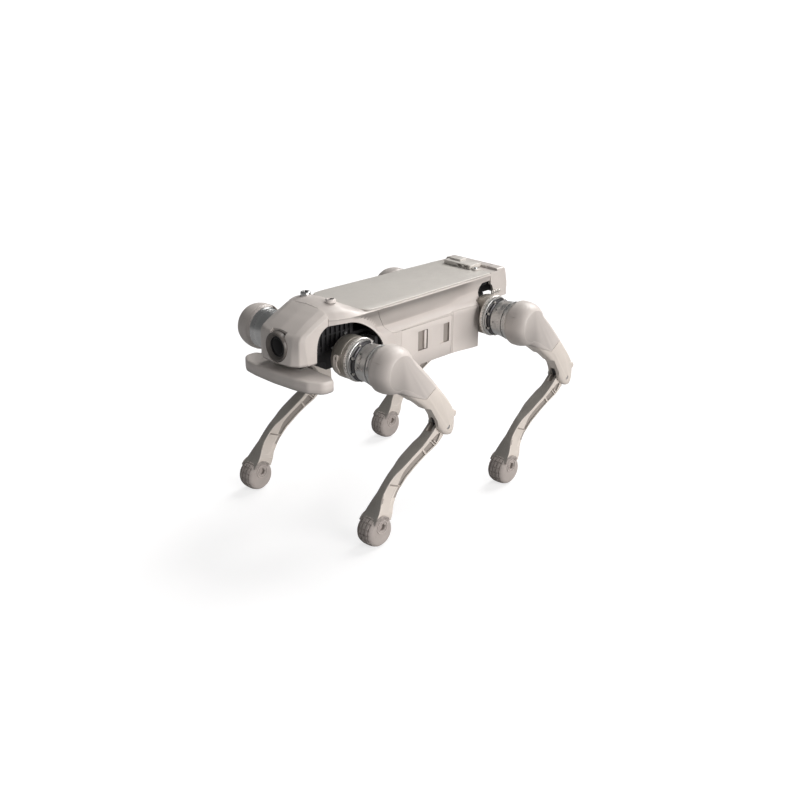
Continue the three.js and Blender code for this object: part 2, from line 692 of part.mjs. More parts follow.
const thigh = thighPieces();
const NO_CUT = 60;
const REAR_CAP_SIDE = 23; // a rear bracket's inner half stops short of the rear cap
const frontBracket = hipBracket(BRACKET_INNER.front, NO_CUT);
const rearBracket = hipBracket(BRACKET_INNER.rear, REAR_CAP_SIDE);
const legPieces = {
    hip_roll_motor: [rollMotor(), MOTOR_STEEL],
    hip_bracket: [frontBracket, BRACKET_ALLOY],
    hip_motor: [hipMotor(), MOTOR_STEEL],
    thigh_frame: [thigh.frame, CAST_ALLOY],
    thigh_cover: [thigh.cover, SHELL_PAINT],
    knee_motor: [kneeMotor(), MOTOR_STEEL],
    knee_belt: [kneeBelt(), BLACK_PLASTIC],
    knee_pin: [kneePin(), MOTOR_STEEL],
    calf: [calf(), CAST_ALLOY],
    foot_pad: [footPad(), SOLE_RUBBER],
};
const FACES_BODY_END = ['hip_roll_motor', 'hip_bracket'];

HIP_X.forEach((hipX, rear) => {
    for (const right of [false, true]) {
        const leg = new THREE.Group();
        leg.position.set(hipX, 0, HIP_HEIGHT);
        robot.add(leg);
        const label = `${rear ? 'rear' : 'front'}_${right ? 'right' : 'left'}`;
        const pieces = rear ? { ...legPieces, hip_bracket: [rearBracket, BRACKET_ALLOY] } : legPieces;
        for (const [piece, [solid, finish]] of Object.entries(pieces)) {
            const flipX = Boolean(rear) && FACES_BODY_END.includes(piece);
            addPiece(leg, `${label}_${piece}`, solid, finish, flipX, right);
        }
    }
});

robot.updateMatrixWorld(true);
export default robot;
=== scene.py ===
"""A four-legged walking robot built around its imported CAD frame. Shapes are drawn in millimetres,
with x = 0 midway between the front and rear feet, and placed in the row frame in metres."""
import json
import math
import bpy
import bmesh
from mathutils import Matrix, Vector


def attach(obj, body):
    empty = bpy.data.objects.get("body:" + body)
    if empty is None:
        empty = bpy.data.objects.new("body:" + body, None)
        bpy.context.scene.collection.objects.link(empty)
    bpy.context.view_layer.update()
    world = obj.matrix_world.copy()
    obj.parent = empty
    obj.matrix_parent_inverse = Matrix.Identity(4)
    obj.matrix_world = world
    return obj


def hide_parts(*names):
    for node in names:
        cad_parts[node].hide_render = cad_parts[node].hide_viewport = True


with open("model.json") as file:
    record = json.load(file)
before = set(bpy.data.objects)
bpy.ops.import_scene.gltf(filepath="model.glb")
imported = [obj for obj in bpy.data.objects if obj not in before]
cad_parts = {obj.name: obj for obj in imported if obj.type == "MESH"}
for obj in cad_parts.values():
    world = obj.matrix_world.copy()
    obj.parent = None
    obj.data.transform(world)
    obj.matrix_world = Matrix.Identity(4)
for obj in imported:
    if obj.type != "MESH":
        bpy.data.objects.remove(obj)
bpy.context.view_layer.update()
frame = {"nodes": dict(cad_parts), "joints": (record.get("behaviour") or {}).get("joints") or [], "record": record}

MM = 0.001
FOOT_AHEAD_OF_HIP = 30
LEGS = ("front_left", "front_right", "rear_left", "rear_right")
JOINTS = {joint["name"]: joint for joint in frame["joints"]}
HIPS = {leg: Vector(JOINTS[f"{leg}_hip_pitch"]["pos_m"]) for leg in LEGS}
MIDDLE_X = (HIPS["front_left"].x + HIPS["rear_left"].x) / 2 + FOOT_AHEAD_OF_HIP * MM


# ---------- curves and outlines ----------
def ramp(rows, x):
    """The value at x of a smooth curve through [x, value] rows, in rising x, without overshoot."""
    if x <= rows[0][0]:
        return rows[0][1]
    if x >= rows[-1][0]:
        return rows[-1][1]
    slopes = [(b[1] - a[1]) / (b[0] - a[0]) for a, b in zip(rows, rows[1:])]
    tangents = [slopes[0]]
    for before, after in zip(slopes, slopes[1:]):
        same = before * after > 0
        tangents.append(2 * before * after / (before + after) if same else 0.0)
    tangents.append(slopes[-1])
    k = next(i for i, row in enumerate(rows[1:]) if x <= row[0])
    (x0, v0), (x1, v1) = rows[k], rows[k + 1]
    h = x1 - x0
    t = (x - x0) / h
    return (
        v0 * (1 + 2 * t) * (1 - t) ** 2
        + v1 * t * t * (3 - 2 * t)
        + tangents[k] * h * t * (1 - t) ** 2
        - tangents[k + 1] * h * t * t * (1 - t)
    )


def linear(rows, x):
    """The value at x of the straight lines through [x, value] rows, in rising x."""
    if x <= rows[0][0]:
        return rows[0][1]
    for (x0, v0), (x1, v1) in zip(rows, rows[1:]):
        if x <= x1:
            return v0 + (v1 - v0) * (x - x0) / (x1 - x0)
    return rows[-1][1]


def blend(value, low, high):
    t = min(1.0, max(0.0, (value - low) / (high - low)))
    return t * t * (3 - 2 * t)


def steps(start, end, count):
    return [start + (end - start) * i / count for i in range(count + 1)]


def rounded(corners, segments=5):
    """A closed outline whose corners, given as (u, v, radius), are rounded."""
    points = []
    count = len(corners)
    for i, (u, v, radius) in enumerate(corners):
        here = Vector((u, v))
        before = Vector(corners[i - 1][:2]) - here
        after = Vector(corners[(i + 1) % count][:2]) - here
        turn = before.angle(after) if before.length and after.length else math.pi
        reach = radius / max(math.tan(turn / 2), 0.05)
        reach = min(reach, before.length * 0.49, after.length * 0.49)
        first = here + before.normalized() * reach
        last = here + after.normalized() * reach
        for k in range(segments + 1):
            t = k / segments
            points.append(first * (1 - t) ** 2 + here * 2 * t * (1 - t) + last * t * t)
    return [(p.x, p.y) for p in points]


def both_sides(half):
    """Closes an outline over y = 0 with the mirror image of its corners, in reverse."""
    return half + [(x, -y, radius) for x, y, radius in half[::-1] if y]


def rounded_box(u0, u1, v0, v1, radius, segments=5):
    corners = ((u0, v0), (u1, v0), (u1, v1), (u0, v1))
    return rounded([(u, v, radius) for u, v in corners], segments)


def smooth_loop(points, per_span=4):
    """A smooth closed curve through points."""
    count = len(points)
    loop = []
    for i in range(count):
        a, b, c, d = (Vector(points[(i + k) % count]) for k in (-1, 0, 1, 2))
        ab, bc, cd = ((b - a).length ** 0.5, (c - b).length ** 0.5, (d - c).length ** 0.5)
        for k in range(per_span):
            t = ab + bc * k / per_span
            ends = (0.0, ab, ab + bc, ab + bc + cd)
            loop.append(tuple(pyramid((a, b, c, d), ends, t)))
    return loop


def pyramid(points, ends, t):
    """The centripetal curve through four points at parameter t."""
    def mix(p, q, start, end):
        return p * ((end - t) / (end - start)) + q * ((t - start) / (end - start))

    p = [mix(points[i], points[i + 1], ends[i], ends[i + 1]) for i in range(3)]
    q = [mix(p[i], p[i + 1], ends[i], ends[i + 2]) for i in range(2)]
    return mix(q[0], q[1], ends[1], ends[2])


def circle(u, v, radius, sides=48):
    angles = [2 * math.pi * i / sides for i in range(sides)]
    return [(u + radius * math.cos(a), v + radius * math.sin(a)) for a in angles]


def arc_band(u, v, radius, width, start, end):
    """A band along an arc about (u, v), from one angle to another in degrees."""
    arc = [math.radians(a) for a in steps(start, end, 22)]
    return [(u + (radius + w) * math.cos(a), v + (radius + w) * math.sin(a))
            for w, turn in ((width / 2, arc), (-width / 2, arc[::-1])) for a in turn]


def span(side, near, far, middle=0.0):
    """The low and high end of a stretch on one side (-1 or 1) of a middle."""
    return sorted((middle + side * near, middle + side * far))


# ---------- solids ----------
MIRROR_Y = Matrix.Diagonal((1, -1, 1, 1))
LIFT = {
    "x": lambda u, v, w: (w, u, v),
    "y": lambda u, v, w: (u, w, v),
    "z": lambda u, v, w: (u, v, w),
}


def linked(name, data):
    made = bpy.data.objects.new(name, data)
    bpy.context.scene.collection.objects.link(made)
    return made


def solid(points, faces):
    mesh = bpy.data.meshes.new("solid")
    mesh.from_pydata([tuple(p) for p in points], [], faces)
    bm = bmesh.new()
    bm.from_mesh(mesh)
    bmesh.ops.remove_doubles(bm, verts=bm.verts, dist=1e-4)
    bmesh.ops.recalc_face_normals(bm, faces=bm.faces)
    bm.to_mesh(mesh)
    bm.free()
    return linked("solid", mesh)


def loft(rings, closed=False):
    """A skin through rings of equal length; its ends are filled, or joined if closed."""
    count = len(rings[0])
    points = [point for ring in rings for point in ring]
    faces = []
    for k in range(len(rings) if closed else len(rings) - 1):
        a = k * count
        b = (k + 1) % len(rings) * count
        for i in range(count):
            j = (i + 1) % count
            faces.append((a + i, a + j, b + j, b + i))
    if not closed:
        faces.append(tuple(range(count))[::-1])
        faces.append(tuple(range(len(points) - count, len(points))))
    return solid(points, faces)


def prism(outline, axis, start, end):
    lift = LIFT[axis]
    return loft([[lift(u, v, w) for u, v in outline] for w in (start, end)])


def block(x0, x1, y0, y1, z0, z1):
    return prism([(x0, y0), (x1, y0), (x1, y1), (x0, y1)], "z", z0, z1)


def rod(axis, radius, start, end, u=0.0, v=0.0, sides=32):
    return prism(circle(u, v, radius, sides), axis, start, end)


def turned(axis, profile, u=0.0, v=0.0, sides=64):
    """Turned about an axis: the profile is a list of (radius, place along the axis)."""
    lift = LIFT[axis]
    rings = []
    for i in range(sides):
        angle = 2 * math.pi * i / sides
        c, s = math.cos(angle), math.sin(angle)
        rings.append([lift(u + r * c, v + r * s, w) for r, w in profile])
    return loft(rings, closed=True)


def bake(made):
    """Applies an object's modifiers."""
    depsgraph = bpy.context.evaluated_depsgraph_get()
    mesh = bpy.data.meshes.new_from_object(made.evaluated_get(depsgraph))
    made.modifiers.clear()
    made.data = mesh
    return made


def boolean(target, operation, others):
    for other in others:
        modifier = target.modifiers.new("boolean", "BOOLEAN")
        modifier.solver = "MANIFOLD"
        modifier.operation = operation
        modifier.object = other
        bake(target)
        bpy.data.objects.remove(other)
    return target


def cut(target, *others):
    return boolean(target, "DIFFERENCE", others)


def join(target, *others):
    return boolean(target, "UNION", others)


def common(target, *others):
    return boolean(target, "INTERSECT", others)


def together(solids):
    """Keeps several solids in one object without joining their surfaces."""
    target, *others = solids
    bm = bmesh.new()
    bm.from_mesh(target.data)
    for other in others:
        bm.from_mesh(other.data)
        bpy.data.objects.remove(other)
    bm.to_mesh(target.data)
    bm.free()
    return target


def copy_of(made):
    twin = made.copy()
    twin.data = made.data.copy()
    bpy.context.scene.collection.objects.link(twin)
    return twin


def moved(made, matrix):
    made.data.transform(matrix)
    if matrix.determinant() < 0:
        made.data.flip_normals()
    return made


def on_side(made, side):
    """What is drawn on the left stays there for side 1, and is mirrored for side -1."""
    return moved(made, MIRROR_Y) if side < 0 else made


def turn_about(axis, degrees, u=0.0, v=0.0):
    """A turn about a line along the axis, through the place (u, v) across it."""
    centre = Vector(LIFT[axis](u, v, 0.0))
    spin = Matrix.Rotation(math.radians(degrees), 4, axis.upper())
    return Matrix.Translation(centre) @ spin @ Matrix.Translation(-centre)


def soften(made, width, segments=2, angle=30):
    modifier = made.modifiers.new("bevel", "BEVEL")
    modifier.width = width
    modifier.segments = segments
    modifier.limit_method = "ANGLE"
    modifier.angle_limit = math.radians(angle)
    return bake(made)


# ---------- materials ----------
def fill(node, values):
    for name, value in values.items():
        node.inputs[name].default_value = value


def new_material(name):
    made = bpy.data.materials.new(name)
    made.use_nodes = True
    nodes, links = made.node_tree.nodes, made.node_tree.links
    return made, nodes, links, nodes["Principled BSDF"]


def material(name, colour, shade, roughness, metallic=0.0, grain=0.15, grain_size=900.0,
             patch_size=18.0, wear=0.25, spread=0.08, shine=0.5, underside_shade=0.0):
    """A finish with patches between two colours, edge wear, uneven roughness and a fine grain.
    Its last argument paints shade: the colour gets that much darker on faces that point down on the piece."""
    made, nodes, links, shader = new_material(name)
    place = nodes.new("ShaderNodeTexCoord")

    def noise(scale, detail):
        node = nodes.new("ShaderNodeTexNoise")
        fill(node, {"Scale": scale, "Detail": detail})
        links.new(place.outputs["Object"], node.inputs["Vector"])
        return node.outputs["Fac"]

    def mixed(factor, first, second):
        node = nodes.new("ShaderNodeMix")
        node.data_type = "RGBA"
        links.new(factor, node.inputs["Factor"])
        for socket, value in (("A", first), ("B", second)):
            slot = next(i for i in node.inputs if i.name == socket and i.type == "RGBA")
            if isinstance(value, tuple):
                slot.default_value = (*value, 1.0)
            else:
                links.new(value, slot)
        return next(o for o in node.outputs if o.type == "RGBA")

    def between(source, low, high, to_low, to_high):
        node = nodes.new("ShaderNodeMapRange")
        fill(node, {"From Min": low, "From Max": high, "To Min": to_low, "To Max": to_high})
        links.new(source, node.inputs["Value"])
        return node.outputs["Result"]

    patches = between(noise(patch_size, 4.0), 0.3, 0.7, 0.0, 1.0)
    fine = noise(grain_size, 2.0)
    base = mixed(patches, colour, shade)
    speckled = mixed(between(fine, 0.35, 0.75, 0.0, 0.22), base, shade)
    edges = nodes.new("ShaderNodeNewGeometry").outputs["Pointiness"]
    rubbed = between(edges, 0.515, 0.56, 0.0, wear)
    bright = tuple(min(1.0, c * 1.25 + 0.05) for c in colour)
    wear_and_shade = mixed(rubbed, speckled, bright)
    # Painted shade: faces that point down on the piece are mixed towards a dark copy of the colour.
    if underside_shade:
        facing = nodes.new("ShaderNodeSeparateXYZ")
        links.new(place.outputs["Normal"], facing.inputs["Vector"])
        painted_shade = between(facing.outputs["Z"], -0.03, -0.45, 0.0, underside_shade)
        wear_and_shade = mixed(painted_shade, wear_and_shade, tuple(c * 0.3 for c in colour))
    links.new(wear_and_shade, shader.inputs["Base Color"])
    uneven = between(noise(patch_size * 5, 3.0), 0.3, 0.7, roughness - spread, roughness + spread)
    links.new(uneven, shader.inputs["Roughness"])
    bump = nodes.new("ShaderNodeBump")
    fill(bump, {"Strength": grain, "Distance": 0.0004 if metallic < 0.5 else 0.00008})
    links.new(fine, bump.inputs["Height"])
    links.new(bump.outputs["Normal"], shader.inputs["Normal"])
    fill(shader, {"Metallic": metallic, "Specular IOR Level": shine})
    return made


SHELL_COLOURS = ((0.645, 0.60, 0.565), (0.605, 0.56, 0.53))
# The shell's paint, with painted shade on faces that point down.
SHELL = material("shell_satin", *SHELL_COLOURS, 0.42, underside_shade=0.85)
PLATE = material("plate_satin", (0.63, 0.605, 0.565), (0.60, 0.575, 0.54), 0.40, grain=0.1)
CAST = material("cast_satin", (0.69, 0.635, 0.58), (0.63, 0.58, 0.53), 0.45, grain=0.3,
                grain_size=500.0)
# Painted shade for the floors of pockets and recesses: a dark, rougher copy of the cast paint.
RECESS_SHADE = material("cast_recess_shade", (0.36, 0.325, 0.295), (0.30, 0.27, 0.245), 0.6, grain=0.4,
                  grain_size=500.0)
STEEL = material("machined_steel", (0.60, 0.605, 0.60), (0.50, 0.505, 0.505), 0.3, metallic=1.0,
                 patch_size=25.0, grain=0.1, spread=0.04)
BRIGHT = material("bright_ring", (0.80, 0.77, 0.73), (0.66, 0.63, 0.60), 0.3, metallic=0.7,
                  patch_size=60.0, grain=0.1)
# A darker copy of the shell's paint: painted shade for the tail cover and the thigh's flat outer face, with more
# painted shade on faces that point down.
SHADED_SHELL = material("shell_painted_shade", (0.57, 0.53, 0.50), (0.53, 0.492, 0.465), 0.42, underside_shade=0.8)
# The calf's front: a darker, rougher copy of the cast paint, as painted shade.
CALF_FRONT_SHADE = material("calf_front_shade", (0.40, 0.38, 0.35), (0.34, 0.322, 0.30), 0.7, grain=0.8,
                grain_size=1400.0)
SURROUND = material("lens_surround", (0.13, 0.115, 0.105), (0.10, 0.09, 0.082), 0.32, grain=0.1)
DARK_STEEL = material("dark_steel", (0.12, 0.12, 0.125), (0.07, 0.07, 0.075), 0.35,
                      metallic=0.9, patch_size=60.0)
BRACKET = material("bracket_anodised", (0.40, 0.375, 0.335), (0.31, 0.285, 0.255), 0.38,
                   metallic=0.6, patch_size=40.0, grain=0.25)
BLACK = material("matt_black", (0.018, 0.018, 0.02), (0.03, 0.03, 0.032), 0.6, grain=0.3,
                 grain_size=600.0, wear=0.05)
GLASS = material("lens_black", (0.002, 0.002, 0.0025), (0.005, 0.004, 0.005), 0.16, wear=0.0,
                 grain=0.02, shine=0.12)
RUBBER = material("sole_rubber", (0.48, 0.435, 0.41), (0.36, 0.325, 0.305), 0.8, grain=0.6,
                  grain_size=420.0, wear=0.3)
BELT = material("belt_rubber", (0.025, 0.025, 0.027), (0.04, 0.04, 0.042), 0.85, grain=0.5)
BOARD = material("circuit_green", (0.02, 0.10, 0.05), (0.03, 0.15, 0.07), 0.45,
                 patch_size=160.0, grain=0.3)
# The thigh cover: the shell's colours, with lighter painted shade on faces that point down.
COVER = material("cover_satin", *SHELL_COLOURS, 0.42, underside_shade=0.3)
FINISHES = {
    "shell_paint": SHELL,
    "plate_paint": PLATE,
    "cast_alloy": CAST,
    "motor_steel": STEEL,
    "bracket_alloy": BRACKET,
    "black_plastic": BLACK,
    "lens_glass": GLASS,
    "sole_rubber": RUBBER,
    "belt_rubber": BELT,
    "circuit_board": BOARD,
}
for part in frame["record"]["subparts"]:
    slots = frame["nodes"][part["node"]].data.materials
    slots.clear()
    slots.append(FINISHES[part["material_slot"]])

# ---------- placing the pieces ----------
BODY_OF = {node: body for body, nodes in frame["record"]["behaviour"]["bodies"].items()
           for node in nodes}
SLOT_OF = {part["node"]: part["material_slot"] for part in frame["record"]["subparts"]}
PLACE_ON_BODY = Matrix.Translation((MIDDLE_X, 0.0, 0.0)) @ Matrix.Scale(MM, 4)


def piece(made, name, node, finish=None, place=PLACE_ON_BODY, stands_for=True, angle=32):
    """Puts a solid in its place as a named piece that moves with a CAD node, or stands for it."""
    moved(made, place)
    made.name = name
    made.data.name = name
    if finish or not any(made.data.materials):
        made.data.materials.clear()
        made.data.materials.append(finish or FINISHES[SLOT_OF[node]])
    made.data.shade_smooth()
    made.data.set_sharp_from_angle(angle=math.radians(angle))
    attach(made, BODY_OF[node])
    if stands_for:
        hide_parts(node)


def painted(made, finishes, pick):
    """Several finishes on one piece: pick gives a face's number in them, or 0 to leave it."""
    made.data.materials.clear()
    for finish in finishes:
        made.data.materials.append(finish)
    for face in made.data.polygons:
        number = pick(face)
        if number:
            face.material_index = number
    return made


def leg_place(leg, faces_body_end=False):
    """Legs are drawn about the left front hip; the others are mirrored copies of it."""
    hip = HIPS[leg]
    flip = Matrix.Diagonal((
        -1.0 if faces_body_end and leg.startswith("rear") else 1.0,
        -1.0 if leg.endswith("right") else 1.0,
        1.0,
        1.0,
    ))
    return Matrix.Translation((hip.x, 0.0, hip.z)) @ Matrix.Scale(MM, 4) @ flip


def on_each_leg(made, suffix, node, finish=None, stands_for=True, faces_body_end=False, legs=LEGS):
    for leg in legs:
        piece(copy_of(made), f"{leg}_{suffix}", f"{leg}_{node}", finish,
              leg_place(leg, faces_body_end), stands_for)
    bpy.data.objects.remove(made)


def bolts(axis, radius, height, places, start, sides=20):
    """Socket-headed bolts standing on a face."""
    low, rim, socket = start - 1.0, start + height * 0.75, start + height * 0.35
    profile = [(0.0, low), (radius, low), (radius, rim), (radius * 0.85, start + height),
               (radius * 0.55, start + height), (radius * 0.5, socket), (0.0, socket)]
    return together([turned(axis, profile, u, v, sides) for u, v in places])


# ---------- thigh ----------
KNEE = (-126.0, -131.0)
THIGH_INNER = 134.0
THIGH_OUTER = 183.0
LEG_PLANE = 151.5
KNEE_BORE = 4.75
CAP_RADIUS = 40.0
PLATEAU_INSET = 11.5
CAP_ANGLES = steps(-98, 156, 24)
# Outer edge of the thigh below its cap, and the edge of its flat outer face: x, z, x, z.
THIGH_EDGE = [
    (-63, -9, -55, -17), (-89, -35, -81, -43), (-114, -62, -106, -69), (-134, -84, -125, -90),
    (-147, -103, -137, -107), (-150.5, -122, -140, -122), (-148.5, -143, -139, -139),
    (-141, -150, -133, -143), (-122, -146, -121, -137), (-96, -118, -102, -110),
    (-82, -97, -89, -88), (-66, -81, -75, -71), (-46, -65, -53, -55), (-26, -51, -31, -41),
]
# How far the thigh's wall leans in, and the depth below its outer face: on the cap, underneath.
THIGH_SHOULDER = [(0.0, 24.0, 11.0), (0.5, 20.0, 7.6), (1.3, 16.2, 5.2), (2.4, 12.4, 3.6),
                  (3.6, 9.4, 2.5), (5.0, 6.7, 1.7), (6.6, 4.4, 1.1), (8.3, 2.5, 0.6),
                  (9.9, 1.1, 0.25), (11.0, 0.3, 0.05), (11.5, 0.0, 0.0)]
THIGH_HEEL = [(7.6, 0.0), (7.0, 0.9), (5.9, 2.6), (4.4, 4.8), (2.8, 7.0), (1.4, 9.2), (0.4, 11.6),
              (0.0, 14.0)]
COVER_SPLIT = 160.0
SEAM = 0.7


def thigh_top(x, z):
    t = (x * KNEE[0] + z * KNEE[1]) / (KNEE[0] ** 2 + KNEE[1] ** 2)
    return THIGH_OUTER - 12.0 * max(t, -0.1)


def softness(x, z):
    """1 on the cap and the back of the thigh, where the shoulder is deep, and 0 underneath."""
    along = (x * KNEE[0] + z * KNEE[1]) / (KNEE[0] ** 2 + KNEE[1] ** 2)
    behind = (x * KNEE[1] - z * KNEE[0]) / math.hypot(*KNEE)
    return max(1 - blend(along, 0.08, 0.3), 0.85 * blend(behind, -4, 12))


def thigh_ring(inset):
    share = inset / PLATEAU_INSET
    corners = []
    for angle in CAP_ANGLES:
        a = math.radians(angle)
        reach = CAP_RADIUS - inset
        corners.append((reach * math.cos(a), reach * math.sin(a)))
    for x, z, inner_x, inner_z in THIGH_EDGE:
        corners.append((x + (inner_x - x) * share, z + (inner_z - z) * share))
    return smooth_loop(corners, 4)


def thigh_blank():
    rings = [[(x, THIGH_INNER + rise, z) for x, z in thigh_ring(inset)]
             for inset, rise in THIGH_HEEL]
    for inset, deep, slight in THIGH_SHOULDER:
        rings.append([
            (x, thigh_top(x, z) - slight - (deep - slight) * softness(x, z), z)
            for x, z in thigh_ring(inset)
        ])
    return loft(rings)


def astride(half):
    """The stretch of Y that lies half on each side of the leg's middle plane."""
    return LEG_PLANE - half, LEG_PLANE + half


def knee_sweep(half_width, reach):
    """Room for the calf to turn about the knee, as a fan between its two limits."""
    low, high = math.radians(-82), math.radians(8)

    def at(angle, out, sideways):
        return (KNEE[0] + math.cos(angle) * out - math.sin(angle) * sideways,
                KNEE[1] + math.sin(angle) * out + math.cos(angle) * sideways)

    outline = [at(low, 0, -half_width), at(low, reach, -half_width),
               at((low + high) / 2, reach * 1.3, 0), at(high, reach, half_width)]
    for angle in steps(high + math.pi / 2, low + 1.5 * math.pi, 20):
        outline.append((KNEE[0] + half_width * math.cos(angle),
                        KNEE[1] + half_width * math.sin(angle)))
    return outline


BELT_PATH = [(0, 0), (-28, -17), (-72, -51), (-96, -75), (-115, -104), KNEE]


def belt_channel(distance):
    """A band round the belt's path, from the hip to the knee."""
    sides = ([], [])
    for i, (x, z) in enumerate(BELT_PATH):
        before = Vector(BELT_PATH[max(i - 1, 0)])
        after = Vector(BELT_PATH[min(i + 1, len(BELT_PATH) - 1)])
        across = (after - before).normalized() * distance
        sides[0].append((x + across.y, z - across.x))
        sides[1].append((x - across.y, z + across.x))
    return sides[0] + sides[1][::-1]


def thigh():
    """The casting, and the cover that wraps the cap and the upper part of the outer face."""
    blank = thigh_blank()
    cut(blank, prism(knee_sweep(18.5, 90), "y", *astride(12)))
    cut(blank, rod("y", 20.5, *astride(12), *KNEE, 48))
    cut(blank, prism(belt_channel(13), "y", *astride(5)))
    cut(blank, rod("y", 30, 137, 168))
    cut(blank, rod("y", KNEE_BORE, 100, 171, *KNEE))
    window = rounded([(-48, -80, 1), (-79, -85, 9), (-99, -114, 9), (-107.5, -137, 6),
                      (-107.5, -175, 1), (-48, -175, 1)], 8)
    cut(blank, prism(window, "y", LEG_PLANE + 4, 220))
    hollow = rounded([(-40, -64, 1), (-62, -71, 8), (-76, -78, 8), (-90, -87.5, 8),
                      (-101, -96, 8), (-109.5, -105, 8), (-115.5, -117, 8), (-119, -130, 8),
                      (-119, -175, 1), (-40, -175, 1)], 6)
    cut(blank, prism(hollow, "y", 100, LEG_PLANE + 4.01))
    cut(blank, moved(block(38.6, 44, 160, 176, -0.45, 0.45), turn_about("y", -30)))

    def outer_area(grow):
        area = [(60, 60), (-60, 60), (-120 - grow, -28 - grow), (-63 - grow, -63 - grow),
                (-29, -48.5 - grow), (13, -31 - grow), (40, -60), (60, -60)]
        cap = [(60, 60), (-4 - grow, 60), (-26 - grow, 20), (-14 - grow, -34), (8 - grow, -60),
               (60, -60)]
        return join(prism(area, "y", COVER_SPLIT - grow, 220), prism(cap, "y", 120, 220))

    def on_plateau(face):
        below = thigh_top(face.center.x, face.center.z) - face.center.y
        return face.normal.y > 0.99 and below < 1

    # The flat outer face of the cover gets the darker copy of the shell paint, as painted shade.
    cover = painted(common(copy_of(blank), outer_area(0)), (COVER, SHADED_SHELL), on_plateau)
    casting = cut(blank, outer_area(SEAM))
    around_collar = turned("y", [(0, 100), (60, 100), (60, 150), (39.7, 150), (38.8, 147.2),
                                 (37.2, 145), (35.6, 143.8), (33.6, 143.2), (0, 143.2)], sides=96)
    return casting, cut(cover, around_collar)


def cap_collar():
    """The bright cone between the hip motor and the cap."""
    return turned("y", [(20, 134), (33.2, 134), (33.8, 134.6), (34.3, 138), (35.2, 141),
                        (36.2, 143), (36.2, 146), (20, 146)], sides=96)


def hood_knob():
    """The small boss on the back of the thigh's lower end."""
    return soften(rod("y", 6.5, 152, 168, -144, -113, 28), 2.0, 4, 40)


def knee_pin():
    return turned("y", [(0, 131), (6, 131), (7, 132), (7, 133.6), (4, 133.6), (4, 170.5),
                        (0, 170.5)], *KNEE, 32)


frame_solid, cover_solid = thigh()
on_each_leg(frame_solid, "thigh_casting", "thigh_frame")
on_each_leg(cover_solid, "thigh_outer_cover", "thigh_cover")
on_each_leg(cap_collar(), "cap_collar", "thigh_frame", STEEL, stands_for=False)
on_each_leg(hood_knob(), "knee_cable_boss", "thigh_frame", stands_for=False)
on_each_leg(knee_pin(), "knee_bolt", "knee_pin")

# ---------- calf ----------
# Along the calf from the knee: front edge x, z; back edge x, z; outer and inner half widths.
CALF_SECTIONS = [
    (-109, -126, -126.5, -150.5, 10.5, 10.5), (-89, -143, -109.5, -163, 10.5, 10.7),
    (-70, -154, -84.2, -172.1, 11.7, 13.2), (-44, -168, -57.2, -186.5, 11, 13.4),
    (-23, -181, -39.8, -200.3, 8.4, 10.8), (-11, -188, -33.6, -207.4, 7, 9.4),
    (3, -200, -28, -213.6, 6.3, 8.7), (14, -212, -20.4, -222, 6.6, 9),
    (22, -222, -12.3, -230.9, 9, 11.4), (27.5, -231, -5, -238, 12.4, 14.2),
    (36, -243, 0, -248.2, 15.6, 16.6), (46, -253, 5, -259, 16.6, 16.6),
]
CALF_END = len(CALF_SECTIONS) - 1


def calf_section(s):
    """The front point, the direction to the back, the depth and both half widths at place s."""
    rows = [[(i, section[k]) for i, section in enumerate(CALF_SECTIONS)] for k in range(6)]
    front_x, front_z, back_x, back_z, outer, inner = (ramp(row, s) for row in rows)
    front = Vector((front_x, front_z))
    back = Vector((back_x, back_z))
    return front, (back - front).normalized(), (back - front).length, outer, inner


def calf_point(s, depth, y):
    front, backward = calf_section(s)[:2]
    place = front + backward * depth
    return (place.x, LEG_PLANE + y, place.y)


def calf_blank(grow=0.0):
    rings = []
    for s in steps(0, CALF_END, 88):
        depth, outer, inner = calf_section(s)[2:]
        outer += grow
        inner += grow
        outline = rounded([(-grow, outer * 0.98, 1.6), (depth + grow, outer * 0.9, 2.6),
                           (depth + grow, -inner * 0.9, 2.6), (-grow, -inner * 0.98, 1.6)], 4)
        rings.append([calf_point(s, d, y) for d, y in outline])
    return loft(rings)


def calf_pocket(start, end, near, far, deep, side):
    """A pocket in the calf's side: near and far are distances from the front edge, as rows by s."""
    rings = []
    for s in steps(start, end, 14):
        half = calf_section(s)[3 if side > 0 else 4]
        low, high = half * 0.98 - deep, half + 6
        d0, d1 = linear(near, s), linear(far, s)
        ring = [(d0 - 0.8, high), (d0 + 1.2, low), (d1 - 0.6, low), (d1 + 0.4, high)]
        rings.append([calf_point(s, d, side * y) for d, y in ring])
    return loft(rings)


FLANGE_EDGE = [(0.3, 12), (1, 8), (2, 6.5), (3, 5.5), (3.5, 6.2), (4, 9), (5, 16.5), (5.85, 21.5)]
BACK_EDGE = [(0, 20), (1, 24.5), (2, 19.3), (3, 19), (4, 21.8), (5, 26.2), (5.85, 30)]


